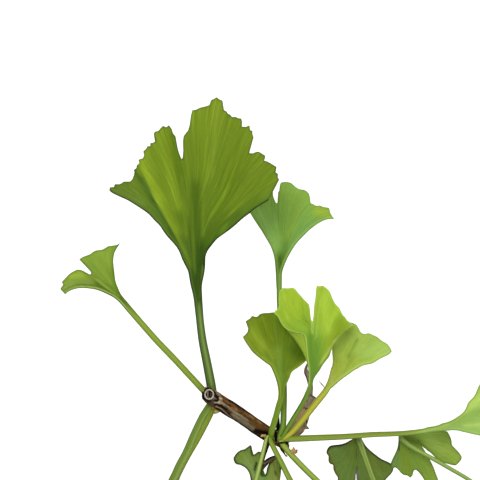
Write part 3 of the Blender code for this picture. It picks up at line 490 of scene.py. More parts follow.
BROAD = DrawnLeaf(
    left=[
        (278.4, 394), (278.2, 390), (277.4, 385), (275.8, 379), (274, 374), (272, 369.5), (270.3, 366),
        (266, 363), (262, 360), (257, 356), (252, 351.5), (248.5, 346.5), (245.4, 342),
    ],
    rim=[
        (242.8, 337), (245.5, 334.5), (247.5, 332), (248.2, 328.5), (246.8, 325.5), (244.8, 323.2),
        (246.4, 320.8), (250, 318.4), (252.2, 316), (255, 316.8), (257.5, 316.5), (259.8, 314.3),
        (263, 313.2), (268, 313), (273, 312.4), (282, 312), (295, 316), (306, 326), (312.5, 337),
        (314.5, 346),
    ],
    right=[
        (284.2, 394), (284.6, 388), (286.6, 384), (289.5, 378), (291, 373.5), (293.5, 370.5), (297.5, 368),
        (302, 364.6), (306, 361), (309.5, 356.5),
    ],
    centre=(281.5, 414), base=(281.5, 387),
    stalk=[
        (276.6, 439, 0.8), (272, 437.4, 0.5), (271.5, 433, -0.8), (273.2, 426, -1.2), (276.4, 415, -1.0),
        (279, 405, -0.6), (280.6, 400, -0.2),
    ],
    palette=OLIVE_GREEN, widths=(6.4, 6.0), lean=0.12, ruffle=1.2, waves=1.7, phase=0.5,
    strokes=(
        (252, 334, 270, 356, 7, 146, 168, 46, 0.8), (262, 342, 277, 376, 3.4, 136, 162, 48, 0.6),
        (282, 320, 300, 352, 9, 92, 118, 16, 0.85), (294, 350, 304, 358, 6, 78, 106, 14, 0.85),
        (266, 352, 280, 384, 2.4, 96, 122, 32, 0.5), (278, 350, 281, 384, 4, 126, 158, 56, 0.75),
        (288, 374, 301, 364, 2.4, 136, 154, 38, 0.7), (272, 334, 276, 318, 4, 112, 136, 24, 0.5),
        (262, 318, 272, 340, 2, 142, 164, 46, 0.4), (284, 340, 283, 372, 1.6, 94, 124, 30, 0.5),
    ),
    edges=(
        ("left", 0.5, 0.9, (104, 128, 26), 0.75), ("left", 2.2, 0.9, (160, 184, 64), 0.6),
        ("right", 0.5, 1.0, (158, 170, 52), 0.6), ("rim", 0.3, 0.9, (80, 100, 18), 0.7),
    ),
    stalk_strokes=((0.2, 0.12, (96, 128, 36), 0.5), (0.78, 0.12, (152, 184, 72), 0.7)),
)
CENTRE = DrawnLeaf(
    left=[
        (308.4, 384), (309, 377), (309, 370), (308, 362), (306.8, 353), (305.8, 344), (305, 337),
        (302.6, 333.8), (297, 333), (291, 331.4), (285, 328), (281, 323), (278, 317),
    ],
    rim=[
        (273.7, 312.7), (275.4, 310.6), (277.8, 308.8), (279, 306), (278.8, 301), (279, 295),
        (279.6, 291.2), (281.4, 289.2), (283, 288), (288, 288.2), (292.5, 287.6), (295.5, 289.4),
        (298, 292.5), (301, 296), (304.5, 300), (308.2, 303.6), (309.4, 307), (310.2, 313), (311, 319),
        (312.5, 321.6), (313.8, 317), (314.3, 309), (315.2, 302), (315.5, 295), (316.2, 289),
        (317.2, 285.6), (319.5, 286.2), (322.5, 285.6), (325, 287), (328, 289.5), (330, 292), (332, 297),
        (334, 301.5), (336.5, 305), (339.5, 308), (341, 311.5), (343, 315), (345, 317), (347, 320),
        (350, 322.4), (353.5, 325),
    ],
    right=[
        (313, 383), (313.8, 379), (316, 375.4), (320, 370), (323, 364.6), (327, 359.6), (329.6, 356),
        (331.5, 350), (334.5, 343.6), (338, 338), (342.5, 333), (347.5, 329),
    ],
    centre=(309, 400), base=(311, 380),
    stalk=[(281, 439, -1.6), (291.7, 421, -3.4), (301.6, 405, -4.4), (307.6, 393, -5)],
    palette=FRESH_GREEN, widths=(4.6, 4.6), depth=-5, lean=0.05, ruffle=0.9, phase=0.2,
    strokes=(
        (311, 378, 310, 336, 4, 104, 150, 50, 0.85), (311, 370, 316, 344, 3, 108, 152, 52, 0.7),
        (302, 330, 290, 322, 5, 138, 176, 54, 0.75), (306, 328, 300, 310, 3, 140, 178, 54, 0.5),
        (318, 358, 318, 332, 3.4, 116, 162, 54, 0.75), (332, 342, 340, 324, 5.5, 140, 164, 36, 0.8),
        (324, 358, 330, 340, 3.4, 154, 180, 50, 0.6), (325, 296, 326, 330, 6, 180, 212, 70, 0.75),
        (292, 294, 296, 316, 6, 166, 196, 52, 0.7), (284, 296, 288, 318, 3, 176, 204, 66, 0.5),
        (338, 308, 330, 320, 3, 178, 208, 62, 0.6), (350, 325, 342, 329, 2.0, 156, 168, 52, 0.5),
        (312, 321, 312.4, 332, 1.3, 186, 216, 110, 0.75), (316, 338, 320, 300, 1.0, 192, 220, 84, 0.4),
        (320, 364, 333, 344, 1.3, 196, 216, 104, 0.6), (334, 342, 352, 326, 1.3, 204, 218, 120, 0.85),
    ),
    edges=(
        ("left", 0.4, 0.65, (186, 212, 104), 0.8), ("right", 0.4, 0.7, (112, 146, 40), 0.6),
        ("rim", 0.4, 0.9, (184, 212, 92), 0.6),
    ),
    stalk_strokes=((0.12, 0.14, (62, 88, 30), 0.8), (0.7, 0.16, (132, 166, 66), 0.6)),
    flap=(
        [
            (309, 377), (308.4, 370), (306.6, 362), (303, 353), (297, 343), (291, 335), (285.4, 328.6),
            (281, 323),
        ],
        [
            (309.6, 377), (309.6, 370), (308.4, 362), (307.2, 353), (306, 344), (304, 334.6), (291, 331.8),
            (281.4, 323),
        ],
        (152, 180, 60),
    ),
)
RIGHT = DrawnLeaf(
    left=[
        (324.9, 386.4), (327.4, 381.2), (329.2, 375.4), (330.6, 369.5), (332.4, 364.6), (332.6, 358),
        (332, 350), (332.6, 341), (333.4, 332),
    ],
    rim=[
        (335, 323), (341, 320), (347, 321), (350.6, 322.4), (354, 323.4), (356.5, 325), (358.5, 328),
        (360, 331), (362, 333.2), (365, 333.8), (369, 333.2), (373, 335), (377.5, 337), (381.5, 340.5),
        (386, 343), (389, 346), (390.9, 349), (391.8, 351.5),
    ],
    right=[
        (330.4, 389.2), (333.5, 386.5), (337.5, 383), (341, 380), (345, 377), (350, 373.5), (354, 370.5),
        (358, 368.5), (361.5, 366.2), (366, 364.8), (371, 364), (375, 362), (379, 359.5), (384, 357),
        (389, 354.5),
    ],
    centre=(318, 403), base=(330, 386),
    stalk=[
        (282, 439, -1.2), (290.6, 433.4, -1.6), (300, 423, -1.3), (308.2, 413, -0.8), (316.9, 402, 0),
        (324, 393.4, 1.0),
    ],
    palette=YELLOW_GREEN, widths=(6.4, 6.6), depth=1.5, turn=-0.05, ruffle=0.8, waves=1.5,
    strokes=(
        (334, 384, 341, 350, 5, 166, 184, 66, 0.7), (340, 354, 340, 330, 6, 172, 198, 80, 0.75),
        (349, 357, 357, 340, 2.0, 122, 154, 54, 0.85), (343, 372, 354, 354, 2.4, 140, 166, 56, 0.6),
        (364, 350, 386, 350, 8, 172, 206, 98, 0.8), (352, 352, 366, 340, 3.4, 166, 194, 84, 0.6),
        (345, 376, 366, 362, 3, 164, 194, 72, 0.6), (346, 332, 354, 327, 3, 154, 182, 62, 0.6),
        (331, 372, 331, 382, 1.8, 192, 196, 112, 0.6), (336, 386, 345, 366, 1.3, 186, 200, 90, 0.5),
    ),
    edges=(
        ("left", 0.6, 0.9, (150, 168, 66), 0.6), ("right", 0.4, 0.8, (118, 146, 46), 0.7),
        ("right", 2.0, 1.0, (186, 214, 110), 0.75), ("rim", 0.3, 0.9, (130, 162, 60), 0.6),
    ),
    stalk_strokes=(
        (0.08, 0.12, (146, 152, 62), 0.7), (0.45, 0.16, (206, 202, 88), 0.5),
        (0.92, 0.1, (150, 158, 40), 0.7),
    ),
)
LONG_STALKED = DrawnLeaf(
    left=[
        (424, 428.4), (428, 427), (435, 426), (440, 424.4), (442.4, 423.2), (446, 422.4), (450, 421),
        (455, 418.4), (460, 415), (463, 412.4), (465.2, 409.5), (467, 405.5), (468, 402.6), (470.4, 400),
        (473, 397.5), (475, 394.6), (476.6, 391), (478, 387.5), (480.4, 383), (485, 376), (490, 369.6),
    ],
    rim=[
        (496, 364), (502, 364.6), (508, 366.6), (514, 371), (520, 378), (526, 384), (529, 390), (526, 396),
        (522, 402), (528, 405), (535, 410), (539, 417), (541, 425), (541, 433), (538, 441), (534, 447),
        (530, 452),
    ],
    right=[
        (424, 433.6), (432, 432.2), (440, 431.2), (447, 430.8), (453, 430.3), (459, 430.8), (463, 432),
        (468, 433), (473, 434.3), (477, 435), (481, 436), (490, 438.6), (500, 442), (514, 447),
    ],
    centre=(404, 434), base=(428, 431),
    stalk=[
        (282, 439, -1.0), (300, 438.5, -1.4), (322, 437.6, -1.7), (345, 436.6, -2), (372, 434.6, -2.7),
        (395, 433.8, -3.2), (412, 432.6, -3.7),
    ],
    palette=PALE_GREEN, widths=(6.4, 5.0), depth=-4, lean=-0.04, ruffle=1.2, rows=40,
    strokes=(
        (444, 427, 472, 425, 4.5, 156, 194, 98, 0.7), (452, 424, 478, 412, 3, 146, 182, 84, 0.5),
        (466, 412, 482, 410, 3, 148, 184, 86, 0.7), (470, 404, 484, 396, 5, 190, 220, 104, 0.75),
        (464, 426, 488, 424, 2.0, 188, 218, 110, 0.75), (456, 420, 476, 404, 1.4, 188, 216, 108, 0.5),
        (452, 423, 464, 416, 1.6, 138, 174, 74, 0.6), (448, 429, 480, 432, 2, 150, 190, 100, 0.5),
    ),
    edges=(
        ("left", 0.5, 0.9, (124, 148, 42), 0.8), ("left", 2.2, 0.8, (180, 206, 104), 0.4),
        ("right", 0.5, 0.8, (118, 160, 66), 0.7), ("right", 2.0, 0.9, (180, 214, 116), 0.55),
        ("rim", 0.5, 1.0, (150, 186, 84), 0.5),
    ),
    stalk_strokes=(
        (0.1, 0.13, (116, 134, 28), 0.8), (0.7, 0.14, (164, 186, 90), 0.6),
        (0.95, 0.08, (104, 130, 40), 0.8),
    ),
)
LOW_UPRIGHT = DrawnLeaf(
    left=[
        (262, 508), (259, 501), (254, 492), (251.4, 484), (250.4, 477.6), (249, 473), (247, 469.6),
        (244, 467), (240, 465), (236.6, 464.4),
    ],
    rim=[
        (234.6, 462.6), (233.4, 460.6), (233.6, 457.6), (235.5, 454.6), (238, 451.8), (241, 450),
        (244.6, 449.2), (247.6, 447), (249.8, 445.4), (251.2, 445.4), (251.7, 447), (251.9, 450),
        (252.2, 453), (253, 454.6), (254.6, 454.2), (256.2, 453), (258.2, 451.6), (260.4, 451.8),
        (261.4, 454), (261.3, 460), (261.2, 468), (261.2, 473.4), (262.8, 475.2), (265.4, 474.6),
        (266.4, 472), (267.2, 468), (268.6, 464.4), (271, 461), (274, 457.4), (277.4, 457), (280.4, 461),
        (281.4, 466), (281, 470.6),
    ],
    right=[(266.8, 507), (269.4, 501), (274, 493), (278.6, 485), (280.4, 478)],
    centre=(261.6, 540), base=(264, 505),
    stalk=[(262, 560, 1.8), (261.5, 545, 1.4), (262.4, 528, 2.4), (263.6, 516, 3.0)],
    palette=SHADE_GREEN, widths=(5.4, 5.0), depth=3.5, lean=-0.04, ruffle=0.8, waves=1.5, softness=0.3,
    straighten=3.0,
    strokes=(
        (237, 458, 250, 458, 8, 128, 152, 66, 0.85), (246, 462, 256, 480, 4, 142, 164, 90, 0.7),
        (252, 466, 254, 480, 3, 138, 166, 88, 0.6), (262, 478, 268, 480, 5, 146, 178, 92, 0.8),
        (269, 464, 270, 480, 3, 146, 170, 80, 0.75), (273, 462, 275, 480, 4, 150, 168, 82, 0.85),
        (277, 460, 278.6, 480, 1.6, 104, 112, 40, 0.7), (272.6, 458, 276, 476, 1.0, 88, 92, 34, 0.7),
        (254.6, 470.6, 256.6, 463, 1.1, 10, 10, 8, 1.0), (275, 471, 276, 474, 1.0, 60, 56, 24, 0.8),
    ),
    edges=(
        ("left", 0.6, 1.1, (46, 70, 16), 0.9), ("right", 0.6, 0.9, (96, 112, 36), 0.6),
        ("rim", 0.5, 1.2, (44, 66, 14), 0.92),
    ),
)
FOLDED_DARK = DrawnLeaf(
    left=[
        (354.6, 438.6), (352.4, 439.4), (349.5, 440.6), (346, 442.6), (340, 444.4), (334, 445),
        (329.6, 446.2),
    ],
    rim=[
        (327, 449.4), (326.4, 453), (328.4, 456), (328.5, 461), (330, 463.6), (333, 465), (333.5, 469.6),
        (335.5, 474), (337.6, 477), (338, 481), (341, 487), (345, 491), (350, 494), (354.6, 492.6),
        (355, 484), (355.6, 476), (356.6, 468), (357.6, 476), (358.4, 484), (359.8, 493.6), (364, 496),
        (369, 497), (374, 495), (379, 492), (382.6, 486), (385.4, 480), (388.2, 476.8), (391.2, 473.6),
        (393.4, 469.2), (392, 463.8),
    ],
    right=[(361.6, 438.4), (363.2, 441.4), (366, 446), (371, 451), (376, 455), (381, 458.6), (386, 461)],
    centre=(358.4, 420), base=(358, 438),
    stalk=[
        (392, 530, 1.0), (384, 505, -1), (378, 491, -1.6), (372.6, 478, -1.7), (367.6, 464, -1.5),
        (363, 451, -0.6), (360.4, 443.6, 0.6), (358.8, 439.6, 2),
    ],
    palette=SHADE_GREEN, widths=(4.8, 4.8), depth=2.6, lean=0.16, ruffle=0.9, waves=1.5,
    strokes=(
        (336, 450, 346, 474, 9, 106, 134, 62, 0.8), (344, 446, 352, 456, 4, 94, 118, 54, 0.6),
        (352, 446, 354, 470, 4, 104, 128, 50, 0.7), (366, 452, 384, 468, 5, 104, 122, 48, 0.8),
        (370, 460, 378, 480, 5, 120, 142, 58, 0.7), (356.6, 471, 357, 484, 1.5, 198, 200, 194, 0.95),
        (328.6, 454, 334, 470, 1.4, 118, 92, 40, 0.6), (333, 466, 338, 478, 1.2, 112, 92, 44, 0.5),
    ),
    edges=(
        ("left", 0.6, 1.3, (16, 20, 10), 0.98), ("right", 0.6, 1.1, (26, 32, 12), 0.9),
        ("rim", 0.5, 0.9, (62, 70, 24), 0.8),
    ),
    stalk_strokes=(
        (0.2, 0.14, (150, 176, 88), 0.7), (0.5, 0.09, (106, 132, 54), 0.85),
        (0.76, 0.12, (168, 194, 104), 0.8), (0.97, 0.06, (100, 124, 48), 0.7),
    ),
)
FOLDED_PALE = DrawnLeaf(
    left=[(398.6, 439), (398.3, 442), (397.6, 447), (395.4, 453), (392.4, 459)],
    rim=[
        (390.6, 463.6), (392.4, 468.6), (395, 467.4), (398, 469.4), (401, 473), (404, 475), (407.6, 475.6),
        (410, 477.6), (412.6, 475), (413.6, 471), (415.5, 469.8), (419, 472.5), (422.5, 477), (424.8, 481),
        (427, 486), (431, 490), (436, 491), (438.6, 486), (438.2, 480), (436, 474), (433.5, 467),
        (430.5, 461), (428, 456), (424, 449.6), (419.4, 442.4), (418, 440.6), (421, 443.6), (426, 448.6),
        (431.4, 453.6), (436, 458.6), (441, 461.6), (446, 463.4), (452, 465), (455.6, 465.4), (458.4, 463),
        (461, 460), (461.6, 456.6), (459.4, 453), (455.4, 448.6), (452, 445), (451.6, 441), (450, 436),
        (447.4, 431.4),
    ],
    right=[(401.6, 433.6), (410, 432.4), (420, 431.4), (432, 430.4), (440, 430)],
    centre=(398, 420.4), base=(400, 437),
    stalk=[
        (520, 520, 1.6), (496, 499, 0), (469.4, 480, -1), (451.8, 469.6, -1.2), (431.6, 458, -1.2),
        (414, 448.6, -0.8), (405, 442.6, 0), (400.6, 438.6, 1.2),
    ],
    palette=MID_GREEN, widths=(3.6, 4.4), depth=2.4, lean=0.14, ruffle=0.7, waves=1.5,
    strokes=(
        (397, 446, 394, 464, 5, 112, 146, 74, 0.8), (404, 450, 409, 472, 4.5, 126, 148, 48, 0.75),
        (418, 458, 432, 484, 5, 134, 162, 60, 0.75), (414, 456, 422, 472, 3, 114, 146, 62, 0.5),
        (406, 438, 417, 442, 4.5, 92, 116, 38, 0.85), (428, 438, 442, 450, 7, 154, 182, 84, 0.85),
        (448, 450, 457, 461, 5, 154, 180, 74, 0.75), (419, 436, 440, 434, 3, 134, 164, 70, 0.6),
        (399, 440, 399, 450, 1.0, 30, 36, 12, 0.7),
    ),
    edges=(
        ("left", 0.6, 0.9, (66, 84, 30), 0.7), ("right", 0.6, 0.9, (84, 108, 30), 0.6),
        ("rim", 0.5, 0.9, (92, 116, 36), 0.7),
    ),
    stalk_strokes=((0.14, 0.14, (106, 134, 54), 0.7), (0.6, 0.2, (166, 192, 110), 0.75)),
)


def stroke_weight(x, y, start, end, width, side=0, crisp=False):
    """How strongly a stroke covers each place. Side keeps it to one side of its line."""
    along = np.array(end, float) - np.array(start, float)
    share = ((x - start[0]) * along[0] + (y - start[1]) * along[1]) / max(along @ along, 1e-9)
    share = np.clip(share, 0, 1)
    away = np.hypot(x - start[0] - along[0] * share, y - start[1] - along[1] * share)
    weight = np.exp(-((away / width) ** (4 if crisp else 2)))
    if side:
        off_line = along[0] * (y - start[1]) - along[1] * (x - start[0])
        weight = weight * smooth_step(off_line * side / np.hypot(*along), -1.6, 1.6)
    return weight


def paint_strokes(tint, x, y, strokes, crisp=False):
    """Lays each stroke over the tint, in pixels of the reference view."""
    for from_x, from_y, to_x, to_y, width, red, green, blue, strength, *side in strokes:
        weight = stroke_weight(x, y, (from_x, from_y), (to_x, to_y), width, *side, crisp=crisp)
        tint = lay(tint, weight * strength, (red, green, blue))
    return tint


def fan_axes(rim, origin):
    """The picture's directions along the middle of a fan, and across it from its left to its right."""
    axis = unit(rim.mean(axis=0) - origin)
    across = np.array([-axis[1], axis[0]])
    if (rim[-1] - rim[0]) @ across < 0:
        across = -across
    return axis, across


def polar(points, centre, axis, across):
    """Each point's angle from a fan's axis, and its distance from the fan's centre."""
    offset = points - centre
    return np.arctan2(offset @ across, offset @ axis), np.linalg.norm(offset, axis=-1)


def column_shares(rim_angle, reaches):
    """The rim's shares of the fan, and each row's: even at the stalk, and as the rim's beyond it."""
    share = (rim_angle - rim_angle[0]) / (rim_angle[-1] - rim_angle[0])
    share = np.maximum.accumulate(np.clip(share, 0, 1))
    even = (1 - np.cos(np.pi * np.linspace(0, 1, len(share)))) / 2
    spread = smooth_step(reaches, 0.0, 0.3)[:, None]
    return share, even * (1 - spread) + share * spread


def lay(tint, weight, colour):
    """Mixes a colour into the tint where the weight says."""
    weight = np.clip(weight, 0, 1)[..., None]
    return tint * (1 - weight) + seen(*colour) * weight


def gradient(palette, reach):
    """The palette's colours from base to rim."""
    base, middle, rim = (seen(*colour) for colour in (palette.base, palette.middle, palette.rim))
    low = smooth_step(reach, 0.05, 0.5)[..., None]
    high = smooth_step(reach, 0.45, 1.0)[..., None]
    return (base * (1 - low) + middle * low) * (1 - high) + rim * high


def with_streaks(tint, streaks):
    """The tint with the strength of its streaks as a fourth value."""
    return np.concatenate([tint, np.full((*tint.shape[:2], 1), streaks)], axis=2)


def rows_to_rim(count):
    """Shares of a rib's length, closer together near the rim."""
    return 1 - (1 - np.linspace(0, 1, count)) ** 1.5


def fan_pixels(leaf, reaches):
    """The pixels of a drawn blade's grid, and each column's share of the fan."""
    rim = curve_through(leaf.rim, RIM_STEPS, leaf.softness)
    centre = np.array(leaf.centre, float)
    axis, across = fan_axes(rim, centre)
    left = curve_at([*leaf.left, leaf.rim[0]], reaches)
    right = curve_at([*leaf.right, leaf.rim[-1]], reaches)
    left_angle, left_far = polar(left, centre, axis, across)
    right_angle, right_far = polar(right, centre, axis, across)
    rim_angle, rim_far = polar(rim, centre, axis, across)
    rim_share, share = column_shares(rim_angle, reaches)
    power = 1 + leaf.straighten * smooth_step(reaches, 0.5, 0.9)[:, None]
    angle = left_angle[-1] * (1 - share) + right_angle[-1] * share
    angle = angle + (left_angle - left_angle[-1])[:, None] * (1 - share) ** power
    angle = angle + (right_angle - right_angle[-1])[:, None] * share ** power
    far = left_far[:, None] * (1 - share) + right_far[:, None] * share
    bulge = rim_far - left_far[-1] * (1 - rim_share) - right_far[-1] * rim_share
    far = far + bulge * (reaches**1.3)[:, None]
    x = centre[0] + far * (across[0] * np.sin(angle) + axis[0] * np.cos(angle))
    y = centre[1] + far * (across[1] * np.sin(angle) + axis[1] * np.cos(angle))
    return x, y, share


def drawn_depth(leaf, x, y):
    """Millimetres behind the main spur at each pixel of a drawn blade, smooth over the whole view."""
    rim = np.array(leaf.rim, float)
    base = np.array(leaf.base, float)
    axis, across = fan_axes(rim, base)
    ends = unit(rim[[0, -1]] - base) @ across
    along = (x - base[0]) * axis[0] + (y - base[1]) * axis[1]
    sideways = (x - base[0]) * across[0] + (y - base[1]) * across[1]
    far = np.hypot(along, sideways)
    reach = far / np.linalg.norm(rim - base, axis=1).max()
    share = (sideways / np.maximum(far, 8) - ends[0]) / (ends[1] - ends[0])
    wave = np.sin(math.tau * (leaf.waves * share + leaf.phase)) * smooth_step(reach, 0.1, 1.0)
    pleats = 0.05 * np.sin(share * 150) * smooth_step(reach, 0.1, 0.6)
    slope = leaf.lean * np.maximum(along, 0) + leaf.turn * (x - base[0]) * smooth_step(reach, 0, 0.3)
    return leaf.depth + slope * PIXEL / MM + leaf.ruffle * wave + pleats


def edge_distances(x, y):
    """Pixels from each place of a blade's grid to its left side, its right side and its rim."""
    distances = {}
    for name, part in (("left", np.s_[:, 0]), ("right", np.s_[:, -1]), ("rim", np.s_[-1])):
        points = curve_at(np.stack([x[part], y[part]], axis=1), np.linspace(0, 1, 400))
        distances[name] = np.hypot(x[..., None] - points[:, 0], y[..., None] - points[:, 1]).min(axis=-1)
    return distances


def stalk_tint(leaf, blade_tint, turn, stations):
    """The stalk's colours, which turn into the blade's near their joint."""
    across = (1 - np.cos(turn)) / 2
    tint = np.broadcast_to(seen(*leaf.palette.stalk), (stations, len(turn), 3))
    # The stalk strokes paint a highlight down the lit side and shade along the edges
    for place, width, colour, strength in leaf.stalk_strokes:
        tint = lay(tint, bell(across, place, width) * strength, colour)
    join = smooth_step(np.arange(stations) / stations, 0.8, 1.0)[:, None, None]
    return tint * (1 - join * 0.6) + blade_tint[:1] * join * 0.6


def blade_normals(leaf, x, y):
    """The drawn blade's direction towards the viewer at each pixel."""
    def place(step_x, step_y):
        return sight_grid(x + step_x, y + step_y, drawn_depth(leaf, x + step_x, y + step_y))

    normal = unit(np.cross(place(0.5, 0) - place(-0.5, 0), place(0, 0.5) - place(0, -0.5)))
    return normal * -np.sign(normal @ np.array(VIEW_AWAY))[..., None]


def stalk_frames(route, end_side, toward):
    """Side and front directions along a stalk, ending with the blade's side direction."""
    along = unit(np.gradient(route, axis=0))
    side = unit(np.cross(along, toward))
    side = side * np.sign(side[-1] @ end_side)
    front = unit(np.cross(side, along))
    return side, front * np.sign(front[-1] @ toward)


def leaf_shell(bm, layers, leaf, blade, normal, blade_tint, fan, stalk_route, widths, toward, number):
    """One leaf from its stalk's end to its rim, as one closed skin. Fan is each place's share across."""
    columns = blade.shape[1]
    span = blade[0, -1] - blade[0, 0]
    end_radius = np.linalg.norm(span) / 2
    stations = max(8, int(len(stalk_route) * 2.4))
    shares = np.linspace(0, 1, stations + 1)
    route = curve_at([*stalk_route, (blade[0, 0] + blade[0, -1]) / 2], shares)
    radii = np.interp(shares, [0, 0.15, 0.8, 1], [widths[0], widths[0], widths[1], end_radius])[:-1, None]
    side, front = stalk_frames(route, unit(span), toward)
    turn = np.pi * np.linspace(0, 1, columns)
    stalk = route[:-1, None] - side[:-1, None] * (np.cos(turn) * radii)[..., None]
    reaches = np.linspace(0, 1, len(blade))[:, None]
    spread = smooth_step(reaches, 0.0, 0.42)
    normal = unit(normal * spread[..., None] + front[-1] * (1 - spread[..., None]))
    edge = np.minimum(1, np.sin(turn) * 9)
    half = np.sin(turn) * end_radius * (1 - spread) + BLADE_HALF * edge * spread
    half = half * (1 - 0.55 * smooth_step(reaches, 0.9, 1.0))
    halves = np.concatenate([np.sin(turn) * radii, half])
    halves[:, [0, -1]] = 0
    mid = np.concatenate([stalk, blade])
    normals = np.concatenate([np.repeat(front[:-1, None], columns, axis=1), normal])
    tint = np.concatenate([stalk_tint(leaf, blade_tint, turn, stations), blade_tint])
    fans = np.concatenate([np.broadcast_to(fan[:1], (stations, columns)), fan])
    grain = np.zeros((*halves.shape, 3))
    grain[..., 0] = fans * lengths_along(blade[-1])[-1] / MM
    grain[..., 1] = lengths_along(mid[:, columns // 2])[:, None] / MM
    grain[..., 2] = number * LEAF_APART
    grid_shell(bm, layers, mid, normals, halves, with_streaks(tint, leaf.palette.streaks), grain)


def add_drawn_leaf(bm, layers, leaf, number):
    """Adds a leaf that the reference view shows."""
    x, y, share = fan_pixels(leaf, rows_to_rim(leaf.rows))
    blade = sight_grid(x, y, drawn_depth(leaf, x, y))
    far = np.hypot(x - leaf.base[0], y - leaf.base[1])
    # Strokes and edges: the blade's own tones, with painted shade and painted highlights
    tint = paint_strokes(gradient(leaf.palette, far / far[-1].max()), x, y, leaf.strokes)
    distances = edge_distances(x, y)
    for edge, inset, width, colour, strength in leaf.edges:
        tint = lay(tint, bell(distances[edge], inset, width) * strength, colour)
    widths = [width * PIXEL / 2 for width in leaf.widths]
    normal = blade_normals(leaf, x, y)
    toward = -np.array(VIEW_AWAY)
    leaf_shell(bm, layers, leaf, blade, normal, tint, share, sights(*leaf.stalk), widths, toward, number)
    if leaf.flap:
        add_flap(bm, layers, leaf, number)


def add_flap(bm, layers, leaf, number):
    """The strip that shows where a blade's side curls over, behind its lit margin."""
    outer, inner, colour = leaf.flap
    shares = np.linspace(0, 1, FLAP_GRID[0])
    across = np.tile(np.linspace(0, 1, FLAP_GRID[1]), (FLAP_GRID[0], 1))
    low = curve_at(outer, shares)[:, None]
    high = curve_at(inner, shares)[:, None]
    pixels = low * (1 - across[..., None]) + high * across[..., None]
    x, y = pixels[..., 0], pixels[..., 1]
    mid = sight_grid(x, y, drawn_depth(leaf, x, y) + 0.5 + 0.9 * (1 - across))
    tint = np.broadcast_to(seen(*colour), mid.shape)
    # Painted shade along the outer line, in the crease under the lit margin
    tint = lay(tint, bell(across, 0, 0.14) * 0.7, (84, 106, 20))
    tint = lay(tint, smooth_step(shares, 0.4, 1.0)[:, None] * 0.6, (130, 160, 44))
    normal = np.broadcast_to(-np.array(VIEW_AWAY), mid.shape)
    half = BLADE_HALF * np.minimum(1, np.sin(np.pi * across) * 3)
    half[:, [0, -1]] = 0
    grain = np.zeros(mid.shape)
    grain[..., 0] = across * 4
    grain[..., 1] = shares[:, None] * 18
    grain[..., 2] = number * LEAF_APART + 11
    grid_shell(bm, layers, mid, normal, half, with_streaks(tint, leaf.palette.streaks), grain)


def free_fan(leaf):
    """A free blade in its own frame: millimetres across, along and up, with its shares and phase."""
    chance = random.Random(leaf.seed)
    spread_angle = math.radians(chance.uniform(56, 66))
    scallops = [chance.uniform(0.9, 1.06) for _ in range(FREE_LEAF_RIBS)]
    phase = chance.random()
    scallops[FREE_LEAF_RIBS // 2] *= 1 - leaf.notch
    share = np.linspace(0, 1, FREE_LEAF_GRID[1])
    even = (1 - np.cos(np.pi * share)) / 2
    t = rows_to_rim(FREE_LEAF_GRID[0])[:, None]
    flare = smooth_step(t, 0.0, 0.3)
    place = even * (1 - flare) + share * flare
    offset = place * 2 - 1
    turn = offset * spread_angle
    teeth = 1 + 0.012 * np.sin(share * 88 + phase * 9) + 0.012 * np.sin(share * 151 + phase * 31)
    ribs = np.interp(place, np.linspace(0, 1, FREE_LEAF_RIBS), scallops)
    reach = leaf.length * ribs * (1 - SIDE_RIBS_SHORTER * offset**2) * teeth
    bow = FREE_LEAF_BOW * leaf.length * np.sin(np.pi * t) * offset
    half_width = leaf.length * math.sin(spread_angle)
    x = (reach * t * np.sin(turn) - bow * np.cos(turn)) * leaf.width / 2 / half_width
    x = x + (even * 2 - 1) * leaf.stalk_radius * (1 - smooth_step(t, 0, 0.5))
    y = reach * t * np.cos(turn) + np.abs(bow) * np.sin(np.abs(turn))
    wave = np.sin(math.tau * (1.6 * place + phase))
    pleats = 0.12 * np.sin(place * 60 + phase * 7) * t
    lift = FREE_LEAF_RUFFLE * t**2 * wave + pleats - FREE_LEAF_ARCH * y * y / leaf.length
    return x, y, lift, t, place, phase


def add_free_leaf(bm, layers, leaf, number):
    """Adds a leaf that has its own frame, as its CAD fan but with a fine, scalloped rim."""
    x, y, lift, t, place, phase = free_fan(leaf)
    axis = np.array(leaf.axis.normalized())
    side = unit(np.cross(np.array(leaf.face), axis))
    face = np.cross(axis, side)
    base = np.array(leaf.base)
    blade = base + (x[..., None] * side + y[..., None] * axis + lift[..., None] * face) * MM
    tint = gradient(leaf.palette, np.broadcast_to(t * 0.9 + 0.1, x.shape))
    tint = tint * (0.93 + 0.1 * np.sin(place * 9 + phase * 20))[..., None]
    tint = lay(tint, bell(t, 1, 0.05) * 0.5, (168, 186, 84))
    route = [*leaf.stalk, base - axis * FREE_LEAF_NECK]
    widths = mm_all(leaf.root_radius, leaf.stalk_radius)
    normal = unit(np.cross(np.gradient(blade, axis=1), np.gradient(blade, axis=0)))
    normal = normal * np.sign(normal @ face)[..., None]
    leaf_shell(bm, layers, leaf, blade, normal, tint, place, route, widths, face, number)


def tinted(palette, change):
    """The palette made a little lighter or darker."""
    shades = [
        tuple(min(250, value * change) for value in colour)
        for colour in (palette.base, palette.middle, palette.rim, palette.stalk)
    ]
    return Palette(*shades, palette.streaks)


def outward_at(turn, rise):
    """The direction at an angle round the vertical and another above the horizontal."""
    return Vector((math.cos(turn), math.sin(turn), 0)) * math.cos(rise) + UP * math.sin(rise)


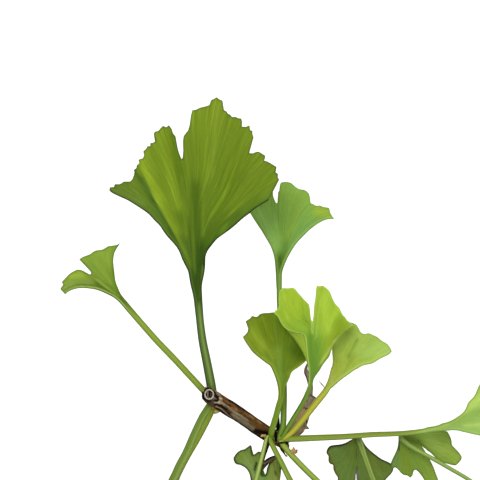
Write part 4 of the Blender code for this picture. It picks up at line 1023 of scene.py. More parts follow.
def spray(centre, settings, seed):
    """Free leaves round a bud, each by azimuth, rise, reach and width, in degrees and millimetres."""
    chance = random.Random(seed)
    looks = random.Random(seed + 500)
    leaves = []
    for azimuth, rise, reach, width in settings:
        turn = math.radians(azimuth)
        lift = math.radians(rise)
        direction = outward_at(turn, lift)
        axis = outward_at(turn, lift - math.radians(chance.uniform(18, 34)))
        roll = math.radians(chance.uniform(-24, 24))
        palette = looks.choice((LEAF_GREEN, MID_GREEN, HANGER_GREEN, FRESH_GREEN, BLUE_GREEN))
        leaves.append(
            FreeLeaf(
                base=centre + direction * reach * MM,
                axis=axis,
                face=Matrix.Rotation(roll, 3, axis) @ UP,
                width=width,
                length=width * chance.uniform(0.62, 0.72),
                stalk=[centre, centre + direction * reach * 0.5 * MM + UP * reach * 0.1 * MM],
                palette=tinted(palette, looks.uniform(0.9, 1.05)),
                seed=seed * 10 + len(leaves),
                notch=chance.uniform(0.2, 0.45),
            )
        )
    return leaves


def hanging_leaf(route, axis, face, width, length, seed, radii, strokes):
    """A leaf whose stalk leaves the reference view at the bottom, with its blade hanging below."""
    *stalk, base = sights(*route)
    return FreeLeaf(
        base=base, axis=Vector(axis), face=Vector(face), width=width, length=length, stalk=stalk,
        palette=HANGER_GREEN, seed=seed, root_radius=radii[0], stalk_radius=radii[1],
        stalk_strokes=strokes,
    )


# Colours along the stalks, with a painted highlight down the lit side and painted shade along the edges:
# each has its place across the stalk, width, colour and strength
LIT_STALK = (
    (0.05, 0.12, (92, 120, 34), 0.85), (0.3, 0.14, (134, 158, 54), 0.6),
    (0.52, 0.26, (190, 210, 120), 0.95), (0.97, 0.06, (104, 132, 42), 0.85),
)
PALE_STALK = (
    (0.5, 0.32, (110, 136, 58), 0.9), (0.15, 0.12, (66, 94, 30), 0.9), (0.95, 0.11, (156, 182, 100), 0.9),
)
OLIVE_STALK = (
    (0.1, 0.14, (124, 144, 52), 0.8), (0.55, 0.2, (136, 150, 50), 0.7), (0.94, 0.1, (98, 118, 30), 0.85),
)
SUNNY_STALK = (
    (0.04, 0.1, (70, 98, 26), 0.85), (0.48, 0.3, (166, 186, 80), 0.85), (0.97, 0.06, (104, 132, 42), 0.85),
)
MIXED_STALK = (
    (0.04, 0.1, (84, 112, 30), 0.85), (0.34, 0.13, (158, 184, 86), 0.75),
    (0.64, 0.18, (134, 158, 58), 0.85), (0.97, 0.06, (100, 128, 40), 0.85),
)


def main_spur_leaves():
    """The main spur's leaves: five drawn ones, and three that hang at the left, middle and right."""
    return [
        BACK, BROAD, CENTRE, RIGHT, LONG_STALKED,
        hanging_leaf(
            [(277, 438, 0), (270.5, 436.4, 0.2), (266.9, 437, -0.6), (265.3, 443, -2.4),
             (261.6, 458, -5.6), (256.5, 478, -9), (250, 504, -15)],
            (-0.25, -0.45, -0.86), (0, -1, 0.4), 27, 19, 71, (0.6, 0.76), LIT_STALK,
        ),
        hanging_leaf(
            [(277, 438.4, 0.2), (271.6, 437.4, 0.3), (270.2, 440, -0.8), (272.3, 445, -2.6),
             (277.4, 455, -4.8), (281.6, 463, -6), (289.5, 479, -9), (301, 503, -15)],
            (0.2, -0.4, -0.88), (0, -1, 0.4), 25, 18, 72, (0.76, 0.88), MIXED_STALK,
        ),
        hanging_leaf(
            [(280, 439, -1), (283.8, 446.5, -2.6), (300.6, 464.7, -5), (315.2, 479, -7),
             (342, 505.6, -12)],
            (0.62, -0.3, -0.72), (0, -1, 0.4), 26, 19, 73, (0.9, 0.85), SUNNY_STALK,
        ),
    ]


def twig_end_leaves():
    """The leaves behind the pruned end of the twig: two drawn ones and two that hang."""
    return [
        TALL, TWO_LOBED,
        hanging_leaf(
            [(213, 399, -3.7), (208.8, 406.6, -5.4), (202.6, 416, -7.2), (193.6, 435, -10.6),
             (186.4, 452, -13.4), (179.4, 465, -15.4), (173, 479, -18), (153, 514, -26)],
            (-0.62, -0.28, -0.73), (-0.3, -1, 0.5), 30, 21, 81, (1.0, 1.15), PALE_STALK,
        ),
        hanging_leaf(
            [(213, 399, -3.7), (211.6, 410, -5.0), (205.6, 423, -7.6), (196.6, 440, -10.1),
             (189, 453, -12.6), (182, 466, -14.7), (175.8, 480, -16.8), (167, 519, -25)],
            (0.12, -0.5, -0.86), (0.2, -1, 0.4), 27, 20, 82, (1.0, 0.95), OLIVE_STALK,
        ),
    ]


MAIN_BUD = sight(280, 438, -0.7)
TWIG_BUD = sight(213, 399, -3.7)
TRUNK_BUD = sight(262, 560, 1.8)
RIGHT_BUD = sight(392, 530, 1.0)
RIGHT_TIP_BUD = sight(520, 520, 1.6)
LEFT_BUD = mm(-48, -9, 134)
LEFT_TIP_BUD = mm(-75.5, -6, 141)
BACK_BUD = mm(-2, 51, 153)
FRONT_BUD = mm(34, -48.5, 141)
UPPER_LEFT_BUD = mm(-38, 18, 178)
RIGHT_BACK_BUD = mm(62, 32, 157)

# Each bunch: its name, its bud, the bud's direction, its drawn leaves, its free leaves and their seed
BUNCHES = [
    ("leaves_trunk_spur", TRUNK_BUD, -VIEW_AWAY, [LOW_UPRIGHT], [(196, -22, 26, 30), (338, -24, 26, 30)], 3),
    ("leaves_right_spur", RIGHT_BUD, UP, [FOLDED_DARK], [(282, -14, 26, 32), (62, 6, 28, 32)], 4),
    (
        "leaves_right_tip", RIGHT_TIP_BUD, UP, [FOLDED_PALE],
        [(302, -8, 24, 32), (350, 2, 20, 28), (50, 8, 26, 32)], 5,
    ),
    ("leaves_left_spur", LEFT_BUD, UP, [], [(245, 20, 26, 34), (300, 10, 26, 34), (70, 28, 24, 30)], 6),
    (
        "leaves_left_tip", LEFT_TIP_BUD, UP, [],
        [(180, 24, 20, 32), (226, -4, 24, 34), (134, 10, 24, 32), (92, 34, 24, 30)], 7,
    ),
    (
        "leaves_back_tip", BACK_BUD, UP, [],
        [(98, 18, 22, 34), (50, 6, 26, 34), (146, 8, 26, 34), (4, 28, 22, 28), (196, 24, 24, 30)], 8,
    ),
    (
        "leaves_front_tip", FRONT_BUD, UP, [],
        [(268, 14, 22, 34), (318, 12, 24, 34), (8, 10, 24, 32), (214, 8, 24, 32)], 9,
    ),
    (
        "leaves_upper_left", UPPER_LEFT_BUD, UP, [],
        [(176, 4, 26, 34), (118, 2, 26, 34), (222, -6, 24, 30), (60, 0, 24, 30)], 10,
    ),
    (
        "leaves_right_back", RIGHT_BACK_BUD, UP, [],
        [(28, 12, 24, 34), (76, 12, 24, 32), (338, 4, 26, 32), (128, -12, 20, 28)], 11,
    ),
]


# Tubes: buds, twigs, branches and roots


def moving_frames(route):
    """Side, front and forward directions along a route, with no twist."""
    along = unit(np.gradient(route, axis=0))
    right = np.array(VIEW_RIGHT)
    side = right if abs(along[0] @ right) < 0.8 else np.array(VIEW_UP)
    sides = []
    for forward in along:
        side = unit(side - forward * (side @ forward))
        sides.append(side)
    sides = np.array(sides)
    return sides, np.cross(along, sides), along


def tube_rows(stations, cut):
    """A tube's rings from pole to pole: the station of each, and its part of the radius there."""
    rows = [(0, share) for share in (0, 0.5, 0.85)]
    rows += [(station, 1) for station in range(stations)]
    far_end = (0.85, 0.5, 0) if cut is None else np.linspace(0.97, 0, 16)
    return rows + [(stations - 1, share) for share in far_end]


def add_tube(bm, layers, points, radii, around, stations, number, colour, squeeze=1.0, cut=None,
             rough=None, streaks=1.0):
    """A round, closed tube on a smooth route, whose stations it returns with their directions.

    Cut is the direction that a slanting, healed far end faces, and rough gives the relief.
    """
    shares = np.linspace(0, 1, stations)
    route = curve_at(points, shares)
    radius = np.interp(shares, np.linspace(0, 1, len(radii)), radii)
    sides, fronts, forwards = moving_frames(route)
    lengths = lengths_along(route)
    rows = tube_rows(stations, cut)
    turn = np.linspace(0, math.tau, around + 1)
    turn[-1] = 0
    rings = np.zeros((len(rows), around + 1, 3))
    grain = np.zeros_like(rings)
    for row, (station, share) in enumerate(rows):
        swell = rough(turn, lengths[station], radius[station]) * share if rough else 0
        reach = radius[station] * share + swell
        local_x = np.cos(turn) * reach * squeeze
        local_y = np.sin(turn) * reach
        ring = route[station] + np.outer(local_x, sides[station]) + np.outer(local_y, fronts[station])
        if share < 1 and cut is None:
            rise = radius[station] * 0.6 * math.sqrt(1 - share**2)
            ring = ring + forwards[station] * (rise if row >= stations else -rise)
        if cut is not None and station == stations - 1:
            slide = ((route[station] - ring) @ cut) / (forwards[station] @ cut)
            ring = ring + np.outer(slide, forwards[station])
            ring = ring + np.array(cut) * cut_relief(share) * radius[station]
        rings[row] = ring
        grain[row, :, 0] = local_x / MM
        grain[row, :, 1] = local_y / MM
        grain[row, :, 2] = lengths[station] / MM + number * TUBE_APART
    closed_skin(bm, layers, rings, with_streaks(colour(rings), streaks), grain)
    return zip(route, sides, fronts, lengths, radius)


def cut_relief(share):
    """Height of a healed cut, as a part of its radius: a raised ring round a sunken middle."""
    return 0.1 * bell(share, 0.7, 0.12) - 0.16 * bell(share, 0, 0.5)


def plain_colour(*colour):
    """A function that gives every place of a tube the same colour."""
    return lambda points: np.broadcast_to(seen(*colour), points.shape)


def add_bud(bm, layers, centre, along, number):
    """The green bud that a spur's leaves grow from, with a ring of brown scales round its foot."""
    direction = along.normalized()
    points = [centre + direction * BUD_LENGTH * (share - 0.5) for share in (0, 0.3, 0.7, 1)]
    radii = [BUD_RADIUS * share for share in (0.8, 0.98, 0.86, 0.45)]
    add_tube(bm, layers, points, radii, 20, 10, number, plain_colour(122, 142, 52))
    side = direction.orthogonal().normalized()
    brown = plain_colour(126, 92, 56)
    for index in range(BUD_SCALES):
        out = Matrix.Rotation(math.tau * index / BUD_SCALES + number, 3, direction) @ side
        foot = centre - direction * BUD_LENGTH * 0.55 + out * BUD_RADIUS * 0.8
        tip = centre + direction * BUD_LENGTH * 0.12 + out * BUD_RADIUS * 1.15
        route = [foot, (foot + tip) / 2 + out * 0.25 * MM, tip]
        add_tube(bm, layers, route, mm_all(0.35, 0.55, 0.12), 8, 6, number + index, brown)


def build_bunch(name, centre, along, leaves, finish):
    """All leaves of one spur and their bud, as the piece that stands for the bunch's solid."""
    bm = bmesh.new()
    layers = new_mesh_layers(bm)
    add_bud(bm, layers, centre, along, len(name))
    for number, leaf in enumerate(leaves):
        add_leaf = add_drawn_leaf if isinstance(leaf, DrawnLeaf) else add_free_leaf
        add_leaf(bm, layers, leaf, number)
    return finish_piece(name + "_fine", bm, finish, [name])


# Wood

TRUNK = [
    mm(-10, 0, 40), mm(-10, 0, 54), mm(-12, 0, 67), mm(-13, 1, 85), mm(-6, 1, 110), mm(3, 2, 135),
    mm(5, 3, 158), mm(2.6, 4, 179), mm(1.4, 3.2, 192), mm(1.4, 1.6, 201.5),
]
TRUNK_FOOT = mm(-10, 0, 0)
# Each root: its azimuth in degrees, and how far it reaches in millimetres
ROOTS = ((12, 33), (74, 28), (128, 34), (190, 31), (246, 35), (305, 29))
TRUNK_RADII = mm_all(8, 12, 10, 8.2, 6.6, 5.4, 4.2, 3.1, 2.2, 1.3)
# Each branch: its route, and its radii in millimetres
BRANCHES = {
    "right": ([mm(4.6, 2.5, 150), mm(20, 0, 160), mm(41, -4, 171), mm(62, -4, 176), RIGHT_TIP_BUD],
              (3.2, 2.6, 2.2, 1.7, 1.4)),
    "left": ([mm(-9, 1, 98), mm(-28, -3, 110), mm(-48, -7, 119), mm(-67, -7, 127), LEFT_TIP_BUD],
             (4.4, 3.4, 2.7, 2.0, 1.4)),
    "back": ([mm(-3, 1.5, 118), mm(-3, 20, 128), mm(-1, 37, 137), mm(-2, 48, 144), BACK_BUD],
             (3.8, 3.0, 2.4, 1.8, 1.4)),
    "front": ([mm(-1, 1.5, 124), mm(12, -15, 128), mm(27, -39, 130), FRONT_BUD], (3.6, 2.8, 2.2, 1.4)),
    "upper_left": ([mm(4.6, 3, 164), mm(-10, 9, 168), mm(-28, 16, 170), UPPER_LEFT_BUD],
                   (2.8, 2.2, 1.8, 1.4)),
    "right_back": ([mm(2, 2, 132), mm(20, 12, 138), mm(42, 24, 143), mm(59, 31, 149), RIGHT_BACK_BUD],
                   (3.6, 2.8, 2.3, 1.7, 1.4)),
    "right_spur": ([mm(41, -4, 171), mm(42, -5, 178), RIGHT_BUD], (1.8, 1.5, 1.4)),
    "left_spur": ([mm(-47, -7, 119), mm(-48, -8.4, 126), LEFT_BUD], (2.0, 1.6, 1.4)),
    "trunk_spur": ([mm(2.6, 3.6, 178), TRUNK_BUD], (2.0, 1.4)),
}


def spur_tip(centre, along, back=0.0):
    """The end of the wooden spur under a bud, a small gap away from it, or a point behind it."""
    return centre - along.normalized() * (BUD_LENGTH / 2 + GAP + back)


def wood_routes():
    """Routes and radii of the roots, the trunk and the branches."""
    routes = [(TRUNK, TRUNK_RADII)]
    for index, (azimuth, reach) in enumerate(ROOTS):
        outward = outward_at(math.radians(azimuth), 0)
        bend = Vector((-outward.y, outward.x, 0)) * (3 if index % 2 else -3) * MM
        steps = ((4, 61, 0), (13, 56.5, 0), (reach - 9, 52, 1), (reach, 45.5, 1.6))
        points = [TRUNK_FOOT + outward * out * MM + UP * up * MM + bend * sway for out, up, sway in steps]
        routes.append((points, mm_all(5.5, 4.6, 3.2, 1.8)))
    for name, (points, radii) in BRANCHES.items():
        along = -VIEW_AWAY if name == "trunk_spur" else UP
        route = [*points[:-1], spur_tip(points[-1], along, 3 * MM), spur_tip(points[-1], along)]
        routes.append((route, mm_all(*radii, radii[-1])))
    return routes


def bark_relief(place, radius, strength):
    """How far old bark stands out at a place given along and across its grain, in metres."""
    coarse = noise.noise(Vector((place[0] * 0.55, place[1] * 0.55, place[2] * 0.11)))
    fine = noise.noise(Vector((place[0] * 1.7, place[1] * 1.7, place[2] * 0.35)))
    crack = abs(noise.noise(Vector((place[0] * 0.9 + 7, place[1] * 0.9, place[2] * 0.13))))
    return radius * strength * (0.09 * coarse + 0.035 * fine + 0.09 * min(crack * 3, 1) - 0.07)
YOUNG_BARK = seen(112, 88, 66)
OLD_BARK = seen(142, 126, 110)
ROOT_BARK = seen(120, 100, 82)


def bark_tint(radius, height, out, strength):
    """The bark's colour: grey where old, brown near the soil, painted shade in furrows, lighter on ridges."""
    age = min(max((radius / MM - 1.4) / 4, 0), 1)
    shade = YOUNG_BARK * (1 - age) + OLD_BARK * age
    low = min(max((64 - height / MM) / 14, 0), 1)
    shade = shade * (1 - low * 0.6) + ROOT_BARK * low * 0.6
    depth = min(max(out / (radius * 0.1 * strength + 1e-9), -1), 1)
    return shade * (1 + 0.45 * depth)


def build_trunk(settings, finish):
    """Roots, trunk and branches as one skin that flows together, with furrowed bark."""
    bm = bmesh.new()
    layers = new_mesh_layers(bm)
    brown = plain_colour(120, 100, 84)
    guide = []
    for number, (points, radii) in enumerate(wood_routes()):
        line = add_tube(bm, layers, points, radii, 24, 14 * len(points), number, brown)
        guide += [(*station, number) for station in line]
    piece = finish_piece("trunk_and_branches", bm, finish, ["tree_wood"])
    remesh = piece.modifiers.new("flow", "REMESH")
    remesh.mode = "VOXEL"
    remesh.voxel_size = settings.skin_step
    soften = piece.modifiers.new("soften", "SMOOTH")
    soften.factor = 0.5
    soften.iterations = 4
    mesh = apply_modifiers(piece)
    furrow_bark(mesh, guide, settings.furrows)
    mesh.shade_smooth()
    mesh.materials.clear()
    mesh.materials.append(finish)
    return piece


def furrow_bark(mesh, guide, strength):
    """Moves the bark in and out along its grain and stores the grain and the colour."""
    tree = KDTree(len(guide))
    for index, (centre, *_) in enumerate(guide):
        tree.insert(centre, index)
    tree.balance()
    count = len(mesh.vertices)
    places = np.zeros(count * 3)
    mesh.vertices.foreach_get("co", places)
    places = places.reshape(count, 3)
    normals = np.array([vert.normal[:] for vert in mesh.vertices])
    grain = np.zeros((count, 3))
    tint = np.ones((count, 4))
    for index in range(count):
        centre, side, front, length, radius, number = guide[tree.find(places[index])[1]]
        offset = places[index] - centre
        grain[index] = offset @ side / MM, offset @ front / MM, length / MM + number * TUBE_APART
        out = bark_relief(grain[index], min(radius, 8 * MM), strength)
        places[index] += normals[index] * out
        tint[index, :3] = bark_tint(radius, places[index][2], out, strength)
    mesh.vertices.foreach_set("co", places.ravel())
    for name, kind, key, values in (
        ("grain", "FLOAT_VECTOR", "vector", grain), ("tint", "FLOAT_COLOR", "color", tint),
    ):
        if name in mesh.attributes:
            mesh.attributes.remove(mesh.attributes[name])
        mesh.attributes.new(name, kind, "POINT").data.foreach_set(key, values.ravel())
    mesh.update()


# Soft strokes of colour on the pruned twig, in pixels: its bark's marks, with painted shadow in the black
# band along its lower edge and small painted highlights. Each is from x, from y, to x, to y, width, red,
# green, blue and strength, and so are those of the stub and the twiglet
TWIG_STROKES = (
    (224, 400, 268, 430, 3.4, 122, 84, 42, 0.85), (246, 413, 268, 427.5, 1.8, 142, 104, 50, 0.75),
    (250, 415.6, 253.4, 418.6, 0.8, 204, 160, 92, 0.8), (257.6, 420.8, 261, 423.4, 0.8, 200, 154, 86, 0.8),
    (226, 402.8, 248, 416.6, 2.0, 138, 92, 50, 0.85), (231, 406, 237, 409.6, 0.9, 184, 126, 78, 0.7),
    (229, 404.4, 234, 407.4, 0.5, 62, 36, 18, 0.85), (237, 408, 244, 412.6, 0.5, 74, 44, 22, 0.85),
    (241, 412.6, 246, 415.8, 0.5, 86, 56, 32, 0.8), (232, 410.8, 236, 412.4, 0.7, 34, 22, 14, 0.99),
    (229.6, 400.4, 235.6, 403.6, 1.3, 10, 7, 5, 0.99), (236.4, 404.8, 240.8, 407.8, 1.3, 10, 7, 5, 0.99),
    (242, 408.4, 247.6, 412, 1.2, 10, 7, 5, 0.99), (247, 412, 268, 426.4, 0.9, 70, 46, 20, 0.8),
    (231, 408.6, 256, 423.4, 1.2, 84, 52, 28, 0.75), (236, 411.6, 240.6, 413.6, 0.9, 14, 10, 8, 0.99),
    (244, 416, 250, 420, 0.7, 60, 40, 24, 0.7), (234, 413.6, 253, 427.4, 3.4, 136, 126, 96, 0.95),
    (236, 413, 247, 420, 1.1, 160, 148, 118, 0.7), (240, 419.4, 250, 427, 0.8, 96, 84, 58, 0.6),
    (252, 423, 266, 431.6, 3.2, 110, 82, 40, 0.8), (256, 431, 267, 433.6, 2.8, 34, 22, 10, 0.99),
    (222.6, 413.4, 234, 421.4, 1.2, 10, 8, 5, 0.99), (238, 415.4, 250, 423.6, 0.5, 96, 84, 60, 0.7),
    (236.4, 417.4, 246, 424.4, 0.5, 150, 138, 108, 0.6), (250, 416.6, 264, 426, 0.5, 84, 56, 26, 0.7),
    (224.4, 402.8, 232.6, 408.6, 0.6, 120, 80, 46, 0.8), (226, 406.8, 231, 410.2, 0.6, 176, 152, 112, 0.75),
    (234, 421.4, 263, 439.6, 2.0, 8, 6, 4, 0.99), (217, 399.4, 227, 406, 2.4, 166, 142, 104, 0.9),
    (217.4, 402.6, 222, 403.6, 0.8, 206, 186, 142, 0.8),
    (223.4, 404.6, 227.6, 407.6, 0.7, 190, 164, 120, 0.8),
    (221.6, 399.4, 224.4, 400.6, 0.6, 120, 84, 48, 0.8),
    (224.6, 403.8, 227.4, 405.8, 0.5, 30, 20, 12, 0.99), (221, 401.6, 236, 412.6, 1.1, 156, 134, 104, 0.8),
    (223, 401, 230.6, 406.6, 0.7, 30, 20, 14, 0.99), (225, 406, 228, 408.6, 0.7, 60, 44, 32, 0.8),
    (215, 404.6, 222, 406, 1.3, 14, 11, 8, 0.99), (221, 405.6, 230, 412.6, 1.5, 20, 14, 10, 0.99),
    (227, 413, 231.6, 417, 0.9, 14, 10, 7, 0.99), (228, 410.6, 232, 413, 1.2, 86, 64, 56, 0.7),
    (216, 406.2, 222, 409.4, 0.6, 172, 150, 112, 0.95), (222, 409.6, 231.6, 418, 0.6, 146, 128, 96, 0.95),
    (216, 408.4, 221, 410.4, 0.9, 14, 10, 6, 0.99), (221, 411.4, 233, 420.6, 1.1, 14, 11, 7, 0.99),
    (213, 389.4, 221, 395.6, 1.4, 176, 152, 120, 0.8), (213.4, 391.2, 217.4, 394.4, 0.8, 12, 9, 7, 0.99),
    (215, 395, 218.6, 396.6, 0.7, 14, 10, 8, 0.99), (216, 393.6, 220, 395.4, 0.5, 170, 146, 116, 0.8),
    (221.4, 395, 226.6, 398.6, 1.3, 74, 42, 14, 0.9), (220, 393.8, 227, 397, 0.7, 150, 108, 60, 0.7),
    (219.6, 398.2, 221.6, 398.6, 0.9, 222, 206, 166, 0.85),
    (214.6, 402.6, 219.4, 401.6, 0.8, 212, 196, 166, 0.8), (208, 402, 214, 403.4, 1.2, 92, 80, 62, 0.8),
)


def ring_strokes(centre, radii, width, colour, strength):
    """Short strokes round an upright oval."""
    corners = [
        (centre[0] + radii[0] * math.cos(turn), centre[1] + radii[1] * math.sin(turn))
        for turn in np.linspace(0, math.tau, 13)
    ]
    pairs = zip(corners, corners[1:])
    return tuple((*start, *end, width, *colour, strength) for start, end in pairs)


# The pruned end: black all round it, a ring of pale callus, a dark heart with flecks, and a knot beside it
CUT_STROKES = (
    (209, 394.2, 209.4, 394.8, 6.0, 8, 6, 5, 0.99), (201.8, 393.4, 204.2, 398, 2.1, 6, 5, 4, 0.99),
    (204.2, 398, 209, 400.8, 2.0, 6, 5, 4, 0.99), (204, 390.4, 206.6, 388, 1.1, 10, 8, 6, 0.99),
    (206.6, 388, 213.6, 390.8, 1.0, 10, 8, 6, 0.99), (213.6, 390.8, 215.6, 395, 0.9, 12, 9, 7, 0.99),
    *ring_strokes((209.2, 394.4), (4.3, 4.8), 0.56, (236, 222, 200), 1.0),
    (207.9, 391.8, 207.7, 396.6, 0.5, 170, 160, 134, 0.85),
    (206.2, 391.6, 206.2, 392.4, 0.5, 196, 186, 166, 0.7), (210.9, 393, 210.9, 396, 0.5, 120, 88, 58, 0.85),
    (208.8, 397.2, 209.6, 398.2, 0.5, 160, 148, 126, 0.6),
    (201.8, 390.6, 203.8, 387.6, 0.5, 188, 170, 134, 0.85),
    (204, 387, 208.6, 386.4, 0.5, 150, 130, 100, 0.8),
    *ring_strokes((216.4, 399.2), (1.6, 1.8), 1.1, (5, 4, 4), 0.99),
    (215.4, 398.5, 215.9, 398.8, 0.5, 126, 112, 100, 0.95),
)
# The black lines along the stub's edges beside the stalks are painted shadow
STUB_STROKES = (
    (308, 396, 316, 399, 3.4, 146, 138, 118, 0.85), (304, 408, 311, 410, 1.0, 24, 18, 14, 0.99),
    (300, 404, 306, 400, 1.2, 30, 24, 18, 0.99), (309, 395, 317, 398, 0.8, 54, 46, 40, 0.7),
    (297, 420, 303, 411, 3.4, 182, 146, 112, 0.9), (306.4, 419, 306.8, 426, 0.9, 18, 12, 8, 0.99),
    (306.8, 426, 308.8, 428.6, 0.9, 18, 12, 8, 0.99), (300, 433.6, 308, 429.4, 0.8, 24, 18, 12, 0.99),
    (290, 434, 304, 427, 4, 186, 160, 122, 0.85), (302, 428, 306, 424, 1.4, 136, 114, 82, 0.7),
    (303.2, 370.4, 309, 382, 0.7, 20, 16, 12, 0.99), (306.6, 364, 303.2, 370, 0.7, 24, 20, 16, 0.99),
    (308, 366, 308.4, 378, 1.4, 156, 144, 128, 0.85),
)
TWIGLET_STROKES = (
    (265, 461, 275, 455, 1.0, 16, 10, 8, 0.95), (268, 461.6, 267, 468, 0.9, 16, 12, 8, 0.9),
    (262, 466, 267, 462.6, 1.1, 20, 15, 10, 0.9), (264, 464, 270, 460.6, 0.6, 156, 138, 116, 0.7),
    (268, 461, 274, 458.4, 0.9, 120, 96, 72, 0.7),
)


def twig_colour(base, strokes):
    """A function that paints a tube of the top growth as the reference view shows it."""
    def paint(points):
        plain = np.broadcast_to(seen(*base), points.shape)
        return paint_strokes(plain, *pixels_of(points), strokes, crisp=True)

    return paint


def twig_relief(turn, length, radius):
    """Furrows along the twig, deepest near its cut end."""
    values = []
    for angle in turn:
        x, y = math.cos(angle), math.sin(angle)
        coarse = noise.noise(Vector((x * 2.2, y * 2.2, length / MM * 0.13)))
        fine = noise.noise(Vector((x * 6, y * 6, length / MM * 0.3)))
        values.append(radius * (0.11 * coarse + 0.07 * fine))
    return np.array(values)


def add_neck(tube):
    """The neck between the trunk and the main spur, and the spur itself."""
    # The neck and the spur are painted near black, as the shade in the gaps between the stalks where they
    # show
    dark = twig_colour((44, 34, 24), ())
    knob = sight(281, 433.5, 3.6)
    neck = sights((257.8, 476, 6.6), (261.8, 459, 5.6), (266.2, 446, 4.8), (269.6, 440, 4.4))
    tube([mm(1.4, 2.8, 195), *neck, knob], (1.9, 1.9, 1.7, 1.6, 1.6, 1.9), 30, 60, 1, dark,
         squeeze=0.55, rough=twig_relief)
    tube([knob + VIEW_AWAY * 1.5 * MM, knob - VIEW_AWAY * 1 * MM, spur_tip(MAIN_BUD, -VIEW_AWAY)],
         (1.9, 1.7, 1.5), 20, 12, 2, dark, rough=twig_relief)


def add_twig(tube):
    """The twig with its pruned end, and the spur behind that end."""
    twig = sights((283, 441, 4.6), (268, 434, 3), (259, 428, 1.6), (241.3, 416, -2.2),
                  (225, 405.8, -5.8), (209.2, 395.4, -9))
    pruned = (sight(209.5, 395, -9) - sight(240, 413.5, -2)).normalized() - VIEW_AWAY * 0.9
    tube(twig, (2.1, 2.2, 2.22, 2.25, 2.35, 2.3), 72, 200, 3,
         twig_colour((104, 78, 50), TWIG_STROKES + CUT_STROKES),
         cut=pruned.normalized(), rough=twig_relief, streaks=0.45)
    tube([*sights((213.4, 398.6, -8.4), (213.2, 398.8, -6.6)), spur_tip(TWIG_BUD, VIEW_AWAY)],
         (1.3, 1.4, 1.4), 20, 12, 4, twig_colour((44, 34, 24), ()))


def add_stub(tube):
    """The old leader's grey stub, with a side spike and the splinter that stands on it."""
    pale = twig_colour((156, 138, 110), STUB_STROKES)
    stub = sights((284, 439, 5), (297, 426, 5.6), (305, 411, 6.6), (313, 396.5, 7.6))
    snapped = (sight(313, 396, 7.6) - sight(311.6, 402, 7.2)).normalized() + VIEW_RIGHT * 0.35
    tube(stub, (1.7, 2.6, 2.0, 1.55), 40, 80, 5, pale,
         cut=snapped.normalized(), rough=twig_relief, streaks=0.6)
    spike = sights((300, 424, 5.4), (304, 426.4, 5.2), (308.6, 428.6, 5.0))
    tube(spike, (1.5, 0.9, 0.2), 14, 16, 6, pale)
    splinter = sights((309, 402, 7.4), (310.6, 388, 7.6), (308.8, 378, 7.7), (306, 370.6, 7.8),
                      (307.2, 363.4, 8))
    tube(splinter, (1.1, 0.75, 0.8, 0.8, 0.15), 18, 40, 7, pale)


def add_twiglet(tube):
    """The dead twiglet that leaves the neck."""
    twiglet = sights((260, 471, 6.4), (262.4, 466.6, 4), (265.6, 463, 2.4), (270, 459.4, 2.2),
                     (275.4, 456.4, 3.4))
    tube(twiglet, (0.9, 0.8, 0.85, 0.7, 0.35), 20, 36, 8,
         twig_colour((104, 86, 66), TWIGLET_STROKES), rough=twig_relief, streaks=0.5)


def build_top_growth(finish):
    """The neck, the pruned twig, the old leader's stub, its splinter and the dead twiglet."""
    bm = bmesh.new()
    layers = new_mesh_layers(bm)

    def tube(points, radii, *rest, **looks):
        add_tube(bm, layers, points, mm_all(*radii), *rest, **looks)

    for add in (add_neck, add_twig, add_stub, add_twiglet):
        add(tube)
    add_scales_and_shade_slivers(bm, layers)
    return finish_piece("pruned_twig_and_stub", bm, finish, ["tree_wood"], sharp=50)


# Dry bud scales near the spurs, and nearly black and dark green slivers of painted shade in the gaps
# between the stalks: from x, from y, to x, to y in pixels, depth and radius in millimetres, and red,
# green and blue
SCALES_AND_SHADE_SLIVERS = (
    (261, 436.4, 264, 434.6, -1.5, 0.46, 206, 168, 104),
    (264, 437, 265.4, 434.4, -1.5, 0.34, 214, 184, 120), (262, 438.4, 264, 438, -1.2, 0.36, 30, 20, 12),
    (285.8, 441.6, 286.8, 445, -1.4, 0.42, 24, 16, 8), (287.8, 442, 288.8, 448.6, -1.0, 0.34, 120, 82, 40),
    (278.8, 443, 285, 442.4, -3.3, 0.3, 14, 24, 4), (278, 443.6, 285.8, 455.8, -2.3, 0.42, 62, 42, 18),
    (284.6, 454.6, 287.4, 456.6, -2.6, 0.34, 150, 118, 62), (277.6, 438, 278.7, 416.6, 1.6, 0.62, 8, 6, 5),
    (276, 441.4, 276, 431, -1.3, 0.56, 10, 8, 6), (268.2, 436, 268, 444, -0.6, 0.3, 10, 12, 4),
    (291.2, 452.4, 295.6, 450.4, -3.8, 0.95, 214, 172, 112),
    (293.8, 451, 293.6, 447, -3.8, 0.4, 196, 150, 92), (294, 453.4, 297.2, 449.8, -3.9, 0.62, 176, 126, 70),
    (213.6, 410.8, 220, 411, -5.4, 0.86, 184, 172, 100), (214.4, 406.4, 219.6, 410, -4.6, 0.72, 34, 24, 14),
    (214.4, 405, 212.6, 410, -5.6, 0.78, 150, 130, 74), (213.4, 411, 215.2, 414, -5.2, 0.3, 30, 34, 10),
    (221, 395.6, 227.4, 398.8, -7.4, 0.4, 150, 102, 52),
    (202.8, 391.6, 204, 388.6, -8.4, 0.24, 190, 172, 134),
    (204.2, 387.6, 208.4, 386.4, -8.6, 0.2, 150, 128, 98), (325, 388, 319, 381, -0.3, 0.22, 184, 154, 102),
)


def add_scales_and_shade_slivers(bm, layers):
    """Adds the dry bud scales and the tan hair beside the main spur and the twig's end.

    The dark ones among them are slivers of painted shade in the gaps between the stalks.
    """
    for number, (from_x, from_y, to_x, to_y, depth, radius, *colour) in enumerate(SCALES_AND_SHADE_SLIVERS):
        first = sight(from_x, from_y, depth)
        last = sight(to_x, to_y, depth)
        middle = (first + last) / 2 - VIEW_AWAY * radius * 0.5 * MM
        radii = mm_all(radius * 0.5, radius, radius * 0.3)
        add_tube(bm, layers, [first, middle, last], radii, 10, 9, number + 20, plain_colour(*colour))


# Pot, screen and soil

